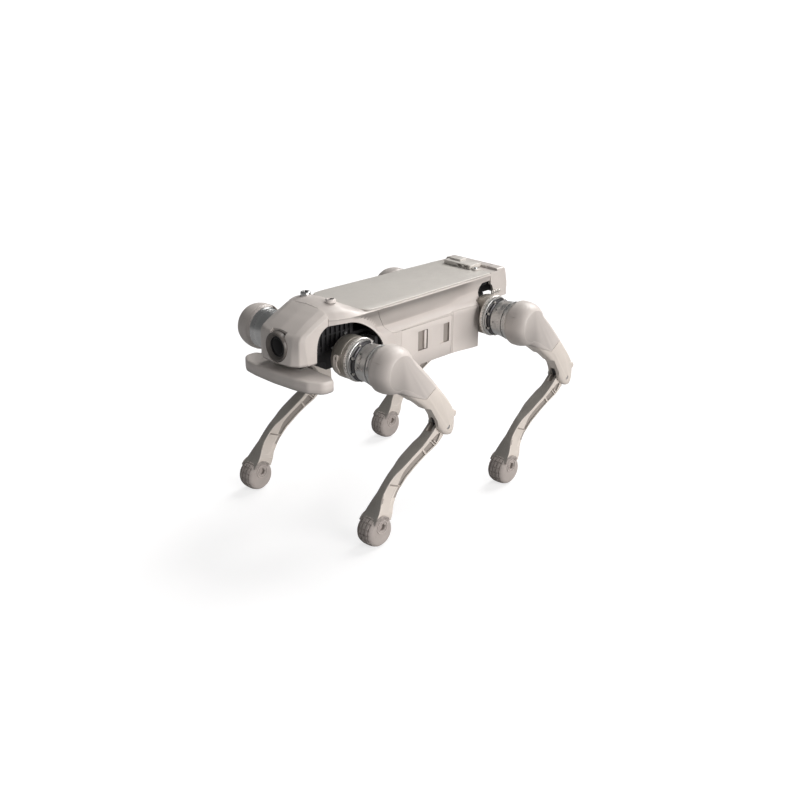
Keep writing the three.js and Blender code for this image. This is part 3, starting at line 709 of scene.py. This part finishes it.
def calf():
    made = calf_blank()
    join(made, rod("y", 15.5, *astride(11), *KNEE, 48))
    strip = [(s, 0.76 * calf_section(s)[2]) for s in (6.1, 7, 8, 9, 10.6)]
    panel = [(s, 0.66 * calf_section(s)[2]) for s in (6.3, 7, 8, 9, 10.1)]
    for side in (-1, 1):
        for start, end in ((0.35, 0.86), (0.93, 1.06), (1.13, 1.98), (2.08, 5.82)):
            cut(made, calf_pocket(start, end, FLANGE_EDGE, BACK_EDGE, 3.8, side))
        cut(made, calf_pocket(5.88, 6.06, [(5, 2)], [(5, 40)], 2.0, side))
        cut(made, calf_pocket(6.1, 9.9, strip, [(6.1, 45), (10.6, 50)], 2.6, side))
        cut(made, calf_pocket(6.3, 10.1, [(6.3, 2.6), (10.1, 3.4)], panel, 0.6, side))
        for x, z, radius in ((-99, -150, 2.4), (-114, -145, 3.2)):
            cut(made, rod("y", radius, *span(side, 6.2, 20, LEG_PLANE), x, z, 20))
    cut(made, rod("y", KNEE_BORE, 100, 220, *KNEE))
    groove = cut(rod("y", 29, *astride(4.5), *KNEE, 48), rod("y", 8.8, *astride(5), *KNEE, 32))
    return cut(made, groove)


CALF_MIDDLES = [(front + backward * depth / 2, outer, inner)
                for front, backward, depth, outer, inner in map(calf_section, steps(0, 10.6, 500))]


def calf_finish(face):
    """1 on the rough floors of the pockets and 2 on the front, both darker as painted shade, 0 elsewhere."""
    # Faces that point forward and up get the painted shade of the front.
    front_shade = 2 if face.normal.x * 0.67 + face.normal.z * 0.74 > 0.75 else 0
    if abs(face.normal.y) < 0.5:
        return front_shade
    here = Vector((face.center.x, face.center.z))
    _, outer, inner = min(CALF_MIDDLES, key=lambda middle: (middle[0] - here).length)
    beside = face.center.y - LEG_PLANE
    below = (outer if beside > 0 else inner) * 0.9 - abs(beside)
    return 1 if below > 0.9 and (here - Vector(KNEE)).length > 16 else front_shade


on_each_leg(painted(calf(), (CAST, RECESS_SHADE, CALF_FRONT_SHADE), calf_finish), "calf_casting", "calf")

# ---------- foot ----------
FOOT = (30.0, -272.3)
ANKLE = (29.0, -263.0)
FOOT_RADIUS = 27.7
# The rings of the hub, as radius and distance from the leg's middle plane.
HUB_RINGS = [(5.0, 15.2), (6.6, 17.0), (7.2, 18.6), (8.2, 18.6), (8.8, 17.0), (9.8, 17.0),
             (10.4, 18.8), (12.0, 18.8), (12.8, 17.2), (12.8, 15.2)]


def foot_profile(width, radius, corner):
    half = [(radius, 0.0), (radius - 0.2, width * 0.35), (radius - 0.9, width * 0.58),
            (radius - 2.3, width * 0.78), (radius - 4.4, width * 0.92),
            (radius - 6.6, width * 0.985), (radius - corner, width)]
    upper = [(r, LEG_PLANE + y) for r, y in half]
    lower = [(r, LEG_PLANE - y) for r, y in half[:0:-1]]
    return [(0.0, LEG_PLANE - width)] + lower + upper + [(0.0, LEG_PLANE + width)]


def foot():
    """The sole with grooves round it and bars across its tread, and a ringed hub on each side."""
    made = turned("y", foot_profile(17.6, FOOT_RADIUS, 9.0), *FOOT, 96)
    for y in (-10.5, -3.6, 3.6, 10.5):
        middle = LEG_PLANE + y
        floor_radius = FOOT_RADIUS - (1.8 if abs(y) < 5 else 3.0)
        cut(made, turned("y", [(floor_radius, middle - 0.9), (FOOT_RADIUS + 2, middle - 1.1),
                               (FOOT_RADIUS + 2, middle + 1.1), (floor_radius, middle + 0.9)],
                         *FOOT, 96))
    for i in range(11):
        angle = 62 - 21 * i + 2 * (i % 2)
        bar = block(FOOT_RADIUS - 1.9, FOOT_RADIUS + 3, *astride(17), -0.9, 0.9)
        moved(bar, Matrix.Translation((FOOT[0], 0, FOOT[1])))
        cut(made, moved(bar, turn_about("y", -angle, *FOOT)))
    for side in (-1, 1):
        join(made, turned("y", [(r, LEG_PLANE + side * y) for r, y in HUB_RINGS], *ANKLE, 56))
        cut(made, rod("y", 6.4, *span(side, 12.5, 24, LEG_PLANE), *ANKLE, 6))
        for radius in (14.8, 16.8, 18.8):
            band = arc_band(*ANKLE, radius, 1.0, 25, 155)
            join(made, prism(band, "y", *span(side, 16.0, 18.3, LEG_PLANE)))
    return made


on_each_leg(cut(foot(), calf_blank(0.3)), "sole", "foot_pad")

# ---------- hip motor and bracket ----------
ROLL_AXIS_Y = 45


def hip_motor():
    made = turned("y", [
        (0, 94), (34.6, 94), (34.6, 97.4), (33.4, 98), (33.4, 99.2), (34.2, 99.6), (34.2, 101.4),
        (32.4, 102), (31.6, 102.4), (31.6, 104.2), (32.6, 104.6), (32.6, 106.2), (31.2, 106.8),
        (30.6, 107.2), (30.6, 109.0), (31.6, 109.6), (31.6, 118), (32.0, 119), (32.6, 124),
        (33.6, 130), (34.6, 133.6), (0, 133.6),
    ], sides=96)
    for angle in (20, 65, 110, 155, 200, 290, 335):
        slot = block(30.8, 36, 99.4, 108.6, -2.6, 2.6)
        soften(slot, 1.2, 3, 40)
        cut(made, moved(slot, turn_about("y", -angle)))
    for angle in (42, 88, 132, 178, 312, 0):
        hole = rod("x", 1.5, 28, 36, 115, 0, 16)
        cut(made, moved(hole, turn_about("y", -angle)))
    return made


def motor_bolts():
    heads = []
    for angle in (42, 88, 132, 178, 225, 268, 312, 0):
        head = turned("x", [(0, 30), (2.2, 30), (2.2, 33.6), (1.7, 34.1), (1.1, 34.1),
                            (0.9, 33.2), (0, 33.2)], 104, 0, 20)
        heads.append(moved(head, turn_about("y", -angle - 22)))
    return together(heads)


def bright_ring():
    return turned("y", [(34.9, 87.6), (35.8, 87.6), (36.6, 88.6), (36.6, 92.8), (36.0, 93.6),
                        (34.9, 93.6)], sides=96)


def bracket(inner, far_side):
    """inner is where its disc starts; far_side, if not 0, is where it is cut off at the end."""
    made = turned("y", [
        (0, inner), (33.8, inner), (34.6, inner + 0.8), (34.6, inner + 2.6), (33.6, inner + 3),
        (33.6, inner + 4.4), (35.4, inner + 5), (36, inner + 6), (36, 80), (35.2, 80.4), (35.2, 81.6),
        (36, 82), (36, 86.6), (35.2, 87.4), (34.6, 87.4), (34.6, 93.2), (0, 93.2),
    ], sides=96)
    cut(made, block(-60, -20, 0, 120, -60, 60))
    if far_side:
        cut(made, block(far_side, 60, 0, 80, -60, 60))
    join(made, rod("x", 18, -20, -13, ROLL_AXIS_Y, 0, 48))
    join(made, block(-20, -13, ROLL_AXIS_Y, 75, -17, 17))
    return made


def cable_clip():
    """A keyhole-shaped clip on the bracket's front."""
    outline = rounded([(-5, -17, 2.5), (5, -17, 2.5), (5, -9, 2), (2.6, -4, 2), (2.6, 4, 2),
                       (5, 8, 2), (5, 15, 4), (-5, 15, 4), (-5, -17, 2)], 5)
    hole = rounded_box(-2.4, 2.4, 6, 12, 2)
    plate = prism([(y + 71, z) for y, z in outline], "x", 30, 40.2)
    cut(plate, prism([(y + 71, z) for y, z in hole], "x", 20, 50))
    shell = turned("y", [(35.8, 60), (37.8, 60), (37.8, 84), (35.8, 84)], sides=96)
    return moved(common(plate, shell), turn_about("y", 6))


def roll_motor():
    face, rear = -20.35, -61.35
    return turned("x", [
        (0, rear - 0.5), (8, rear - 0.5), (8, rear), (17, rear), (18, rear + 1), (18, rear + 8),
        (17, rear + 9), (17, rear + 11), (18, rear + 12), (18, face - 6), (17.2, face - 5),
        (17.2, face - 3), (18, face - 2), (18, face), (0, face),
    ], ROLL_AXIS_Y, 0, 64)


def on_band(face):
    """The slotted band of the motor is dark."""
    x, y, z = face.center
    return 97.6 < y < 109.4 and math.hypot(x, z) < 33.8


on_each_leg(painted(hip_motor(), (STEEL, DARK_STEEL), on_band), "pitch_motor", "hip_motor")
on_each_leg(motor_bolts(), "pitch_motor_bolts", "hip_motor", BRIGHT, stands_for=False)
on_each_leg(bright_ring(), "bracket_ring", "hip_bracket", BRIGHT, stands_for=False,
            faces_body_end=True)
FRONT_LEGS, REAR_LEGS = LEGS[:2], LEGS[2:]
on_each_leg(bracket(57, 0), "bracket", "hip_bracket", faces_body_end=True, legs=FRONT_LEGS)
on_each_leg(bracket(66, 23), "bracket", "hip_bracket", faces_body_end=True, legs=REAR_LEGS)
on_each_leg(cable_clip(), "cable_clip", "hip_bracket", CAST, stands_for=False, legs=FRONT_LEGS)
on_each_leg(roll_motor(), "roll_motor", "hip_roll_motor", faces_body_end=True)

# ---------- body shell ----------
HIP_X = 137.5
HIP_Z = 300.0
SHELL_FRONT = 171.0
SHELL_REAR = -221.0
UNDER_PLATE = 366.65
HOOD_START = 103.9
BELLY = 243.0
LIP_Y = [(-221, 62.5), (-113, 66.5), (60, 69.5), (118, 69.8), (140, 67.5), (158, 61.5), (171, 53.5)]
WALL_Y = [(-221, 74), (-176, 74), (-113, 67.4), (171, 67)]
# Height, and how far the scooped band lies inside the lip.
SCOOP = [
    (317.5, 0), (319.0, 0.8), (320.5, 2.3), (322.5, 5.2), (324.5, 7.9), (326.5, 9.7),
    (328.5, 10.3), (331.0, 10.1), (334.0, 9.6), (338.0, 8.9), (342.0, 8.1), (346.0, 7.2),
    (350.0, 6.2), (354.0, 4.9), (358.0, 3.3), (362.0, 1.2), (363.8, 0.3), (365.0, 0.0),
    (366.0, 0.4), (366.6, 1.2),
]
SCOOP_MIDDLE = 342.0
# The same, inside the wall below the band.
WALL_SCOOP = [(z, inset if z <= SCOOP_MIDDLE else 0) for z, inset in SCOOP]
# Across half of the hood: the share of the way to the lip, and rows of x and height.
HOOD = [
    (0.0, [(104, 369.7), (111, 372.4), (120, 377.4), (130, 382.2), (138, 384.7), (146, 385.5),
           (156, 385), (164, 383.5), (171, 381.4)]),
    (0.45, [(104, 369.7), (111, 372.1), (120, 376.8), (130, 381.4), (138, 383.8), (146, 384.6),
            (156, 383.8), (164, 382), (171, 379.8)]),
    (0.7, [(104, 369.6), (111, 371), (120, 374), (130, 377.2), (138, 379.2), (146, 380),
           (156, 379.4), (171, 377)]),
    (0.87, [(104, 368.6), (112, 369.6), (125, 372.6), (138, 375.2), (146, 375.9), (158, 375.6),
            (171, 374)]),
    (1.0, [(104, 366.6), (146, 366.6), (171, 366.6)]),
]
ACROSS = (0.0, 0.12, 0.24, 0.36, 0.48, 0.58, 0.66, 0.73, 0.79, 0.84, 0.88, 0.915, 0.945, 0.97, 0.985)


def from_arch(x, z):
    """1 on the edge of the front leg's opening, growing away from it."""
    reach, power = (59.0, 3.5) if x > HIP_X else (75.0, 1.5)
    return (abs((x - HIP_X) / reach) ** power + abs((z - HIP_Z) / 57.0) ** power) ** (1 / power)


def side_y(x, z):
    """The outer face of the body's side, with its scooped band and the rim of the opening."""
    lip, wall = ramp(LIP_Y, x), ramp(WALL_Y, x)
    fade = 0.5 + 0.5 * blend(x, -176, -140)
    deeper = fade * (1 + 0.25 * blend(x, 30, 80) * (1 - blend(x, 152, 171)))
    upper = lip - deeper * ramp(SCOOP, z)
    lower = wall - fade * ramp(WALL_SCOOP, z)
    y = lower + (upper - lower) * blend(z, 317.5, 341.5)
    if x > 20 and z > HIP_Z - 5:
        rim = 1.0 - blend(from_arch(x, z), 1.06, 1.17)
        edge = min(lip, 68.6) - 0.3
        y += max(0.0, edge - y) * rim
    return y


def hood_z(x, share):
    return ramp([(u, ramp(rows, x)) for u, rows in HOOD], share)


SIDE_HEIGHTS = [z for z, _ in SCOOP[::-1]] + [310.0, 300.0, 285.0, 265.0]


def body_ring(x, inset, bottom):
    half = []
    for share in ACROSS:
        lip = ramp(LIP_Y, x) - 1.2 - inset
        top = UNDER_PLATE if x < HOOD_START else hood_z(x, share)
        half.append((share * lip, max(top, UNDER_PLATE) - inset))
    for z in SIDE_HEIGHTS:
        half.append((side_y(x, z) - inset, z - inset * blend(z, 340, 366)))
    half.append((ramp(WALL_Y, x) - inset, bottom))
    other = [(-y, z) for y, z in half[:0:-1]]
    return [(x, y, z) for y, z in half + other]


def superellipse(x0, z0, reach, height, power, start, end, count=24):
    points = []
    for a in steps(math.radians(start), math.radians(end), count):
        c, s = math.cos(a), math.sin(a)
        points.append((x0 + math.copysign(abs(c) ** (2 / power), c) * reach,
                       z0 + abs(s) ** (2 / power) * height))
    return points


ARCH = ([(HIP_X + 59, 220)] + superellipse(HIP_X, HIP_Z, 59, 57, 3.5, 0, 90)
        + superellipse(HIP_X, HIP_Z, 75, 57, 1.5, 90, 180)[1:] + [(HIP_X - 75, 220)])


def along_side(path, width, deep):
    """A groove cutter that follows the side's surface along a path of (x, z) points."""
    rings = []
    for i, (x, z) in enumerate(path):
        before, after = path[max(i - 1, 0)], path[min(i + 1, len(path) - 1)]
        run = Vector((after[0] - before[0], after[1] - before[1])).normalized() * width / 2
        y = side_y(x, z)
        rings.append([(x - run.y * k, y + rise, z + run.x * k)
                      for k, rise in ((1, 4), (1, -deep), (-1, -deep), (-1, 4))])
    return loft(rings)


def body_shell():
    stations = steps(SHELL_REAR, -176, 8) + steps(-172, 40, 30) + steps(44, 103.4, 22)
    stations += [HOOD_START, 104.4] + steps(105.5, SHELL_FRONT, 34)
    made = loft([body_ring(x, 0.0, BELLY) for x in stations])
    inner = loft([body_ring(x, 3.0, BELLY - 5) for x in steps(-226, SHELL_FRONT - 3, 50)])
    cut(made, inner)
    cut(made, prism(ARCH, "y", -90, 90))
    slot = rounded([(-176.5, 220, 1), (-176.5, 319, 3), (-186.5, 322, 3), (-188, 335, 6),
                    (-191, 346, 6), (-198, 354, 9), (-230, 354, 1), (-230, 220, 1)], 8)
    cut(made, prism(slot, "y", -90, 90))
    cut(made, block(-110.4, 17.4, 55, 90, 238, 315.4))
    seam = [(73, 361), (66, 350), (58, 338), (51, 328), (45, 320.5), (39, 316.6), (30, 315.4),
            (10, 315.8), (-20, 316.2), (-60, 317), (-108, 318.4), (-112, 319.6), (-150, 320.6),
            (-178, 321)]
    lengthwise = [(x, linear(sorted(seam), x)) for x in steps(73, -178, 110)]
    upright = [(-113.5, z) for z in steps(320, 244, 12)]
    for path, width, deep in ((lengthwise, 0.9, 1.1), (upright, 0.8, 1.0)):
        for side in (1, -1):
            cut(made, on_side(along_side(path, width, deep), side))
    return made


def top_plate():
    right = [(-220.5, -62.5, 2), (0, -67.6, 60), (72, -69.4, 30), (97, -67, 16), (103.4, -50, 14)]
    outline = rounded(both_sides(right), 8)
    return soften(prism(outline, "z", 367.05, 369.5), 0.8, 3, 40)


piece(body_shell(), "outer_shell", "body_shell", angle=38)
piece(top_plate(), "deck_plate", "top_plate")

# ---------- head and chin ----------
HEAD_FRONT_X = [(296, 240.6), (312, 238.8), (330, 236.4), (340, 235.3), (344, 234.4),
                (346.5, 232.6), (348.6, 230), (352, 225.4), (358.4, 215.4), (364.8, 204.6),
                (370.3, 193.6), (375, 184.5), (379, 175.5), (381.3, 170.5), (384, 163)]
LENS_Z = 323.0
LENS_FACE = 233.4
LENS_RADIUS = 16.8


def head_ring(z, inset):
    front = ramp(HEAD_FRONT_X, z)
    slope = blend(z, 340, 352)
    side_x = ramp([(296, 215), (336, 221), (346, 217), (352, 208), (375, 160), (384, 142)], z)
    corner_x = ramp([(296, 229), (336, 229.5), (346, 225.5), (352, 216), (375, 171), (384, 152)], z)
    corner_y = 46.6 - 0.6 * slope
    mid_x = front - (3.4 + 1.2 * slope)
    wall = 52.0 - inset
    corners = both_sides([
        (150, wall, 1), (side_x - inset, wall, 7), (corner_x - inset, corner_y - inset, 6),
        (mid_x - inset, 33.5, 14), (front - inset, 0, 40),
    ])
    if corner_x < 158:
        corners = [(min(x, 172), y, r) if abs(y) > 40 else (x, y, r) for x, y, r in corners]
    return [(x, y, z) for x, y in rounded(corners, 6)]


def head():
    heights = [296.5, 296.9, 297.6, 299] + steps(302, 338, 8) + steps(340, 354, 14)
    heights += steps(356, 383, 14)
    rings = []
    for z in heights:
        lower = max(0.0, 299 - z)
        rings.append(head_ring(z, 0.28 * lower ** 2))
    made = loft(rings)
    inner = loft([head_ring(z, 3.0) for z in steps(294, 348, 10)])
    cut(inner, block(212, 260, -24, 24, 300, 352))
    cut(made, inner)
    cut(made, block(100, SHELL_FRONT + 0.4, -80, 80, 280, 400))
    cut(made, block(160, 180, -46, 46, 290, 365))
    cut(made, prism(ARCH, "y", -90, 90))
    visor = rounded([(-17.5, 330, 1), (17.5, 330, 1), (17.5, 355.5, 4), (-17.5, 355.5, 4)], 6)
    cut(made, prism(visor, "x", 226.5, 260))
    cut(made, rod("x", 25.0, 222, 260, 0, LENS_Z, 96))
    return made


def bezel():
    g = LENS_FACE
    return turned("x", [
        (LENS_RADIUS + 0.2, g - 10.8), (LENS_RADIUS + 0.2, g + 0.9), (18.4, g + 2.2),
        (20.6, g + 4.4), (21.6, g + 5.4), (22.6, g + 5.6), (23.6, g + 5.0), (24.2, g + 3.8),
        (24.7, g + 2.6), (24.7, g - 10.8),
    ], 0, LENS_Z, 96)


def lens_glass():
    g = LENS_FACE
    return turned("x", [(0, g - 4), (LENS_RADIUS, g - 4), (LENS_RADIUS, g - 0.2),
                        (14.5, g + 0.2), (10, g + 0.9), (5, g + 1.3), (0, g + 1.4)],
                  0, LENS_Z, 72)


def lens_rings():
    """Two fine dark rings near the edge of the front glass."""
    g = LENS_FACE
    return together([
        turned("x", [(radius, g - 0.5), (radius + 0.8, g - 0.5), (radius + 0.8, g + 0.55),
                     (radius, g + 0.75)], 0, LENS_Z, 64)
        for radius in (15.6, 13.2)
    ])


CHIN = both_sides([(246, 0, 60), (243.6, 48, 40), (239, 75, 20), (223, 97.5, 16), (202, 97, 9),
                   (192, 80, 10), (186, 0, 30)])


def chin():
    rings = []
    for z, inset in ((263.4, 2.6), (263.7, 1.5), (264.5, 0.6), (266.1, 0.0), (278.4, 0.0),
                     (280.6, 0.5), (282.0, 1.6), (282.8, 3.2), (283.0, 5.5)):
        scale_x, scale_y = 1 - inset / 30, 1 - inset / 97
        outline = [(215 + (x - 215) * scale_x, y * scale_y, r) for x, y, r in CHIN]
        rings.append([(x, y, z) for x, y in rounded(outline, 8)])
    return loft(rings)


piece(head(), "head_cover", "head_shell", angle=34)
piece(bezel(), "lens_surround", "lens_bezel", SURROUND)
piece(lens_glass(), "front_glass", "camera_lens")
piece(lens_rings(), "lens_barrel", "camera_lens", BLACK, stands_for=False)
piece(chin(), "chin_guard", "chin_bumper")


def stud(y):
    return turned("z", [(0, 384.6), (8.6, 384.6), (8.6, 388.2), (8.0, 389.4), (6.8, 390.2),
                        (5.6, 390.2), (4.9, 389.4), (4.5, 387.6), (0, 387.6)], 145, y, 48)


piece(stud(30), "left_mount_boss", "left_top_stud", SHELL)
piece(stud(-30), "right_mount_boss", "right_top_stud", STEEL)
for side, y in (("left", 30), ("right", -30)):
    insert = turned("z", [(2.2, 387.4), (4.2, 387.4), (4.2, 388.8), (3.6, 389.4), (2.2, 389.4)],
                    145, y, 32)
    piece(insert, f"{side}_boss_insert", f"{side}_top_stud", DARK_STEEL, stands_for=False)

# ---------- rear of the body ----------
def rear_cap():
    outline = rounded([(-221.4, 319, 1), (-221.4, 373.4, 1), (-263, 373.4, 9), (-270, 345, 24),
                       (-270, 319, 3)], 8)
    rings = []
    for y, inset in ((62, 3.4), (61.6, 2.0), (60.6, 0.9), (59, 0.2), (57, 0.0)):
        shrink_x, shrink_z = 1 - inset / 48, 1 - inset / 60
        rings.append([(-221.4 + (x + 221.4) * shrink_x, y, 319 + (z - 319) * shrink_z)
                      for x, z in outline])
    rings += [[(x, -y, z) for x, y, z in ring] for ring in rings[::-1]]
    made = loft(rings)
    cut(made, block(-265, -215, -57, 57, 310, 366))
    cut(made, block(-239.5, -215, -70, 70, 369.1, 390))
    for side in (-1, 1):
        cut(made, block(-275, -215, *span(side, 34.5, 37.5), 369.6, 390))
        corner = rounded([(-215, 300, 1), (-215, 350, 4), (-225, 346, 6), (-229.5, 336, 5),
                          (-229.5, 300, 1)], 6)
        cut(made, prism(corner, "y", *span(side, 50, 70)))
    cut(made, block(-275, -200, -22.4, 22.4, 300, 319.5))
    for y in steps(-24, 24, 6):
        vent = rounded_box(y - 2.4, y + 2.4, 330, 347, 2.3, 4)
        cut(made, prism(vent, "x", -275, -262))
    return made


BUTTON = (-214.0, 31.5)


def port_block():
    outline = rounded_box(-239, -208, -41, 23.5, 3)
    made = soften(prism(outline, "z", 369.85, 377), 1.0, 3, 40)
    small = rounded_box(-237, -219, -36, -10, 2)
    join(made, soften(prism(small, "z", 376, 380), 0.9, 3, 40))
    join(made, turned("z", [(0, 369.85), (6.2, 369.85), (6.2, 371.6), (5.6, 372.2), (0, 372.2)],
                      *BUTTON, 40))
    cut(made, rod("z", 4.35, 360, 390, *BUTTON, 32))
    for y0, y1 in ((-8, 3), (7, 18)):
        socket = rounded_box(y0, y1, 371.6, 375.2, 1, 4)
        cut(made, prism(socket, "x", -214, -200))
    return made


def power_button():
    return turned("z", [(0, 371), (4, 371), (4, 373.6), (3.6, 374.3), (2.8, 374.6), (0, 374.3)],
                  *BUTTON, 40)


def tail_bracket():
    """The small bolted lug above each rear hip."""
    outline = rounded([(-223, 329, 2), (-223, 335, 3), (-246, 335.5, 3), (-249, 331, 2),
                       (-244, 328, 2)], 5)
    made = soften(prism(outline, "y", 62.4, 65), 0.8, 2, 40)
    heads = bolts("y", 2.6, 2.0, ((-227, 332), (-234.5, 332), (-242, 331.8)), 65, 20)
    return together([made, heads])


def rear_liner():
    """The dark ribbed wall behind the openings over the rear hips."""
    made = block(-262, -181, -50, 50, 345, 356)
    join(made, block(-262, -181, -30, 30, 323, 345.5))
    for x in steps(-228, -186, 8):
        for side in (-1, 1):
            join(made, block(x, x + 2, *span(side, 49, 53), 347, 354))
    return made


# The tail cover gets the darker copy of the shell paint, as painted shade.
piece(rear_cap(), "tail_cover", "rear_cap", SHADED_SHELL)
piece(port_block(), "connector_block", "port_block")
piece(power_button(), "power_key", "power_button")
piece(rear_liner(), "rear_bay_liner", "chassis_frame", BLACK, stands_for=False)
SIDES = (("left", 1), ("right", -1))
for name, side in SIDES:
    piece(on_side(tail_bracket(), side), f"{name}_tail_lug", "rear_cap", BRIGHT, stands_for=False)

# ---------- battery cover ----------
def battery_cover():
    """The door, with a finger recess beside the latch and another near its rear edge."""
    made = soften(block(-110, 17, 63.2, 67.3, BELLY, 315), 0.5, 2, 40)
    for x0, x1, deep in ((-48.2, -23.5, 3.2), (-104, -91.5, 3.4), (-92, -79.7, 2.2)):
        outline = rounded_box(x0, x1, 268.5, 303.5, 1.6, 4)
        cut(made, prism(outline, "y", 67.3 - deep, 80))

    # The floors and walls of the two deeper recesses get painted shade.
    def in_recess(face):
        x, y, _ = face.center
        beside = -48.3 < x < -23.4 or -104.1 < x < -91.4
        return beside and 63.6 < y < 67.0 and face.normal.z > -0.5

    return painted(made, (SHELL, RECESS_SHADE), in_recess)


def latch():
    return soften(block(-45.0, -39.2, 64.3, 67.6, 269.5, 302.5), 0.6, 3, 40)


piece(battery_cover(), "battery_door", "battery_cover")
piece(latch(), "door_latch", "battery_latch")


def bay_detail(side):
    """Ribs, cable runs and bolts on the black frame inside the front leg's opening."""
    made = block(96, 204, 22.2, 30, 300, 352)
    for x in steps(104, 198, 9):
        join(made, block(x, x + 2.4, 29, 34, 304, 350))
    for z in (312, 330, 344):
        join(made, block(98, 202, 29, 32.5, z, z + 2.4))
    return on_side(made, side)


def bay_bolts(side):
    places = [(108, 306), (126, 348), (146, 308), (164, 347), (182, 309), (196, 336), (117, 327),
              (190, 322)]
    return on_side(bolts("y", 2.3, 2.0, places, 33.0, 16), side)


for name, side in SIDES:
    piece(bay_detail(side), f"{name}_bay_frame", "chassis_frame", BLACK, stands_for=False)
    piece(bay_bolts(side), f"{name}_bay_bolts", "chassis_frame", STEEL, stands_for=False)

# ---------- stage, lights and camera ----------
FLOOR_HALF = 40.0
WHITE = (1.0, 1.0, 1.0, 1.0)
# How bright the floor and the sky look to the camera, and how much the sky lights the robot.
FLOOR_SEEN, SKY_SEEN, SKY_LIGHT = 0.72, 0.97, 0.16
CAMERA_PLACE = Vector((1.4099, 1.3377, 0.9222))
CAMERA_HEADING = math.radians(43.54)
CAMERA_DIP = math.radians(21.64)
CAMERA_ROLL = math.radians(0.53)
CAMERA_LENS = 51.85


def floor():
    corners = [(-FLOOR_HALF, -FLOOR_HALF), (FLOOR_HALF, -FLOOR_HALF)]
    corners += [(-u, -v) for u, v in corners]
    mesh = bpy.data.meshes.new("floor")
    mesh.from_pydata([(u, v, 0.0) for u, v in corners], [], [(0, 1, 2, 3)])
    mesh.materials.append(pale_floor())
    linked("floor", mesh)


def pale_floor():
    """White paper, lit a little more to the eye than it lights the robot."""
    made, nodes, links, shader = new_material("pale_floor")
    fill(shader, {
        "Base Color": (0.4, 0.4, 0.405, 1.0),
        "Roughness": 0.9,
        "Specular IOR Level": 0.1,
        "Emission Color": WHITE,
    })
    path = nodes.new("ShaderNodeLightPath")
    level = nodes.new("ShaderNodeMath")
    level.operation = "MULTIPLY"
    level.inputs[1].default_value = FLOOR_SEEN
    links.new(path.outputs["Is Camera Ray"], level.inputs[0])
    links.new(level.outputs[0], shader.inputs["Emission Strength"])
    return made


def sky():
    world = bpy.data.worlds.new("studio")
    bpy.context.scene.world = world
    world.use_nodes = True
    nodes, links = world.node_tree.nodes, world.node_tree.links
    background = nodes["Background"]
    background.inputs["Color"].default_value = WHITE
    path = nodes.new("ShaderNodeLightPath")
    level = nodes.new("ShaderNodeMapRange")
    fill(level, {"To Min": SKY_LIGHT, "To Max": SKY_SEEN})
    links.new(path.outputs["Is Camera Ray"], level.inputs["Value"])
    links.new(level.outputs["Result"], background.inputs["Strength"])


def sun(name, heading, height, strength, angle, colour):
    """A soft distant light; heading is where it comes from, in degrees from +X towards +Y."""
    light = bpy.data.lights.new(name, "SUN")
    light.energy = strength
    light.angle = math.radians(angle)
    light.color = colour
    made = linked(name, light)
    a, e = math.radians(heading), math.radians(height)
    towards = Vector((math.cos(a) * math.cos(e), math.sin(a) * math.cos(e), math.sin(e)))
    made.rotation_mode = "QUATERNION"
    made.rotation_quaternion = towards.to_track_quat("Z", "Y")


def camera():
    data = bpy.data.cameras.new("camera")
    data.lens = CAMERA_LENS
    data.sensor_width = 36.0
    data.clip_end = 200.0
    made = linked("camera", data)
    bpy.context.scene.camera = made
    c, s = math.cos(CAMERA_HEADING), math.sin(CAMERA_HEADING)
    ahead = Vector((-c * math.cos(CAMERA_DIP), -s * math.cos(CAMERA_DIP), -math.sin(CAMERA_DIP)))
    right = Vector((-s, c, 0.0))
    up = right.cross(ahead)
    turn = Matrix((right, up, -ahead)).transposed()
    roll = Matrix.Rotation(CAMERA_ROLL, 3, "Z")
    made.matrix_world = Matrix.Translation(CAMERA_PLACE) @ (turn @ roll).to_4x4()


floor()
sky()
sun("key", 95, 15, 2.8, 45, (1.0, 0.965, 0.945))
sun("top", 185, 43, 2.8, 40, (1.0, 0.985, 0.97))
camera()
bpy.context.scene.view_settings.view_transform = "Standard"
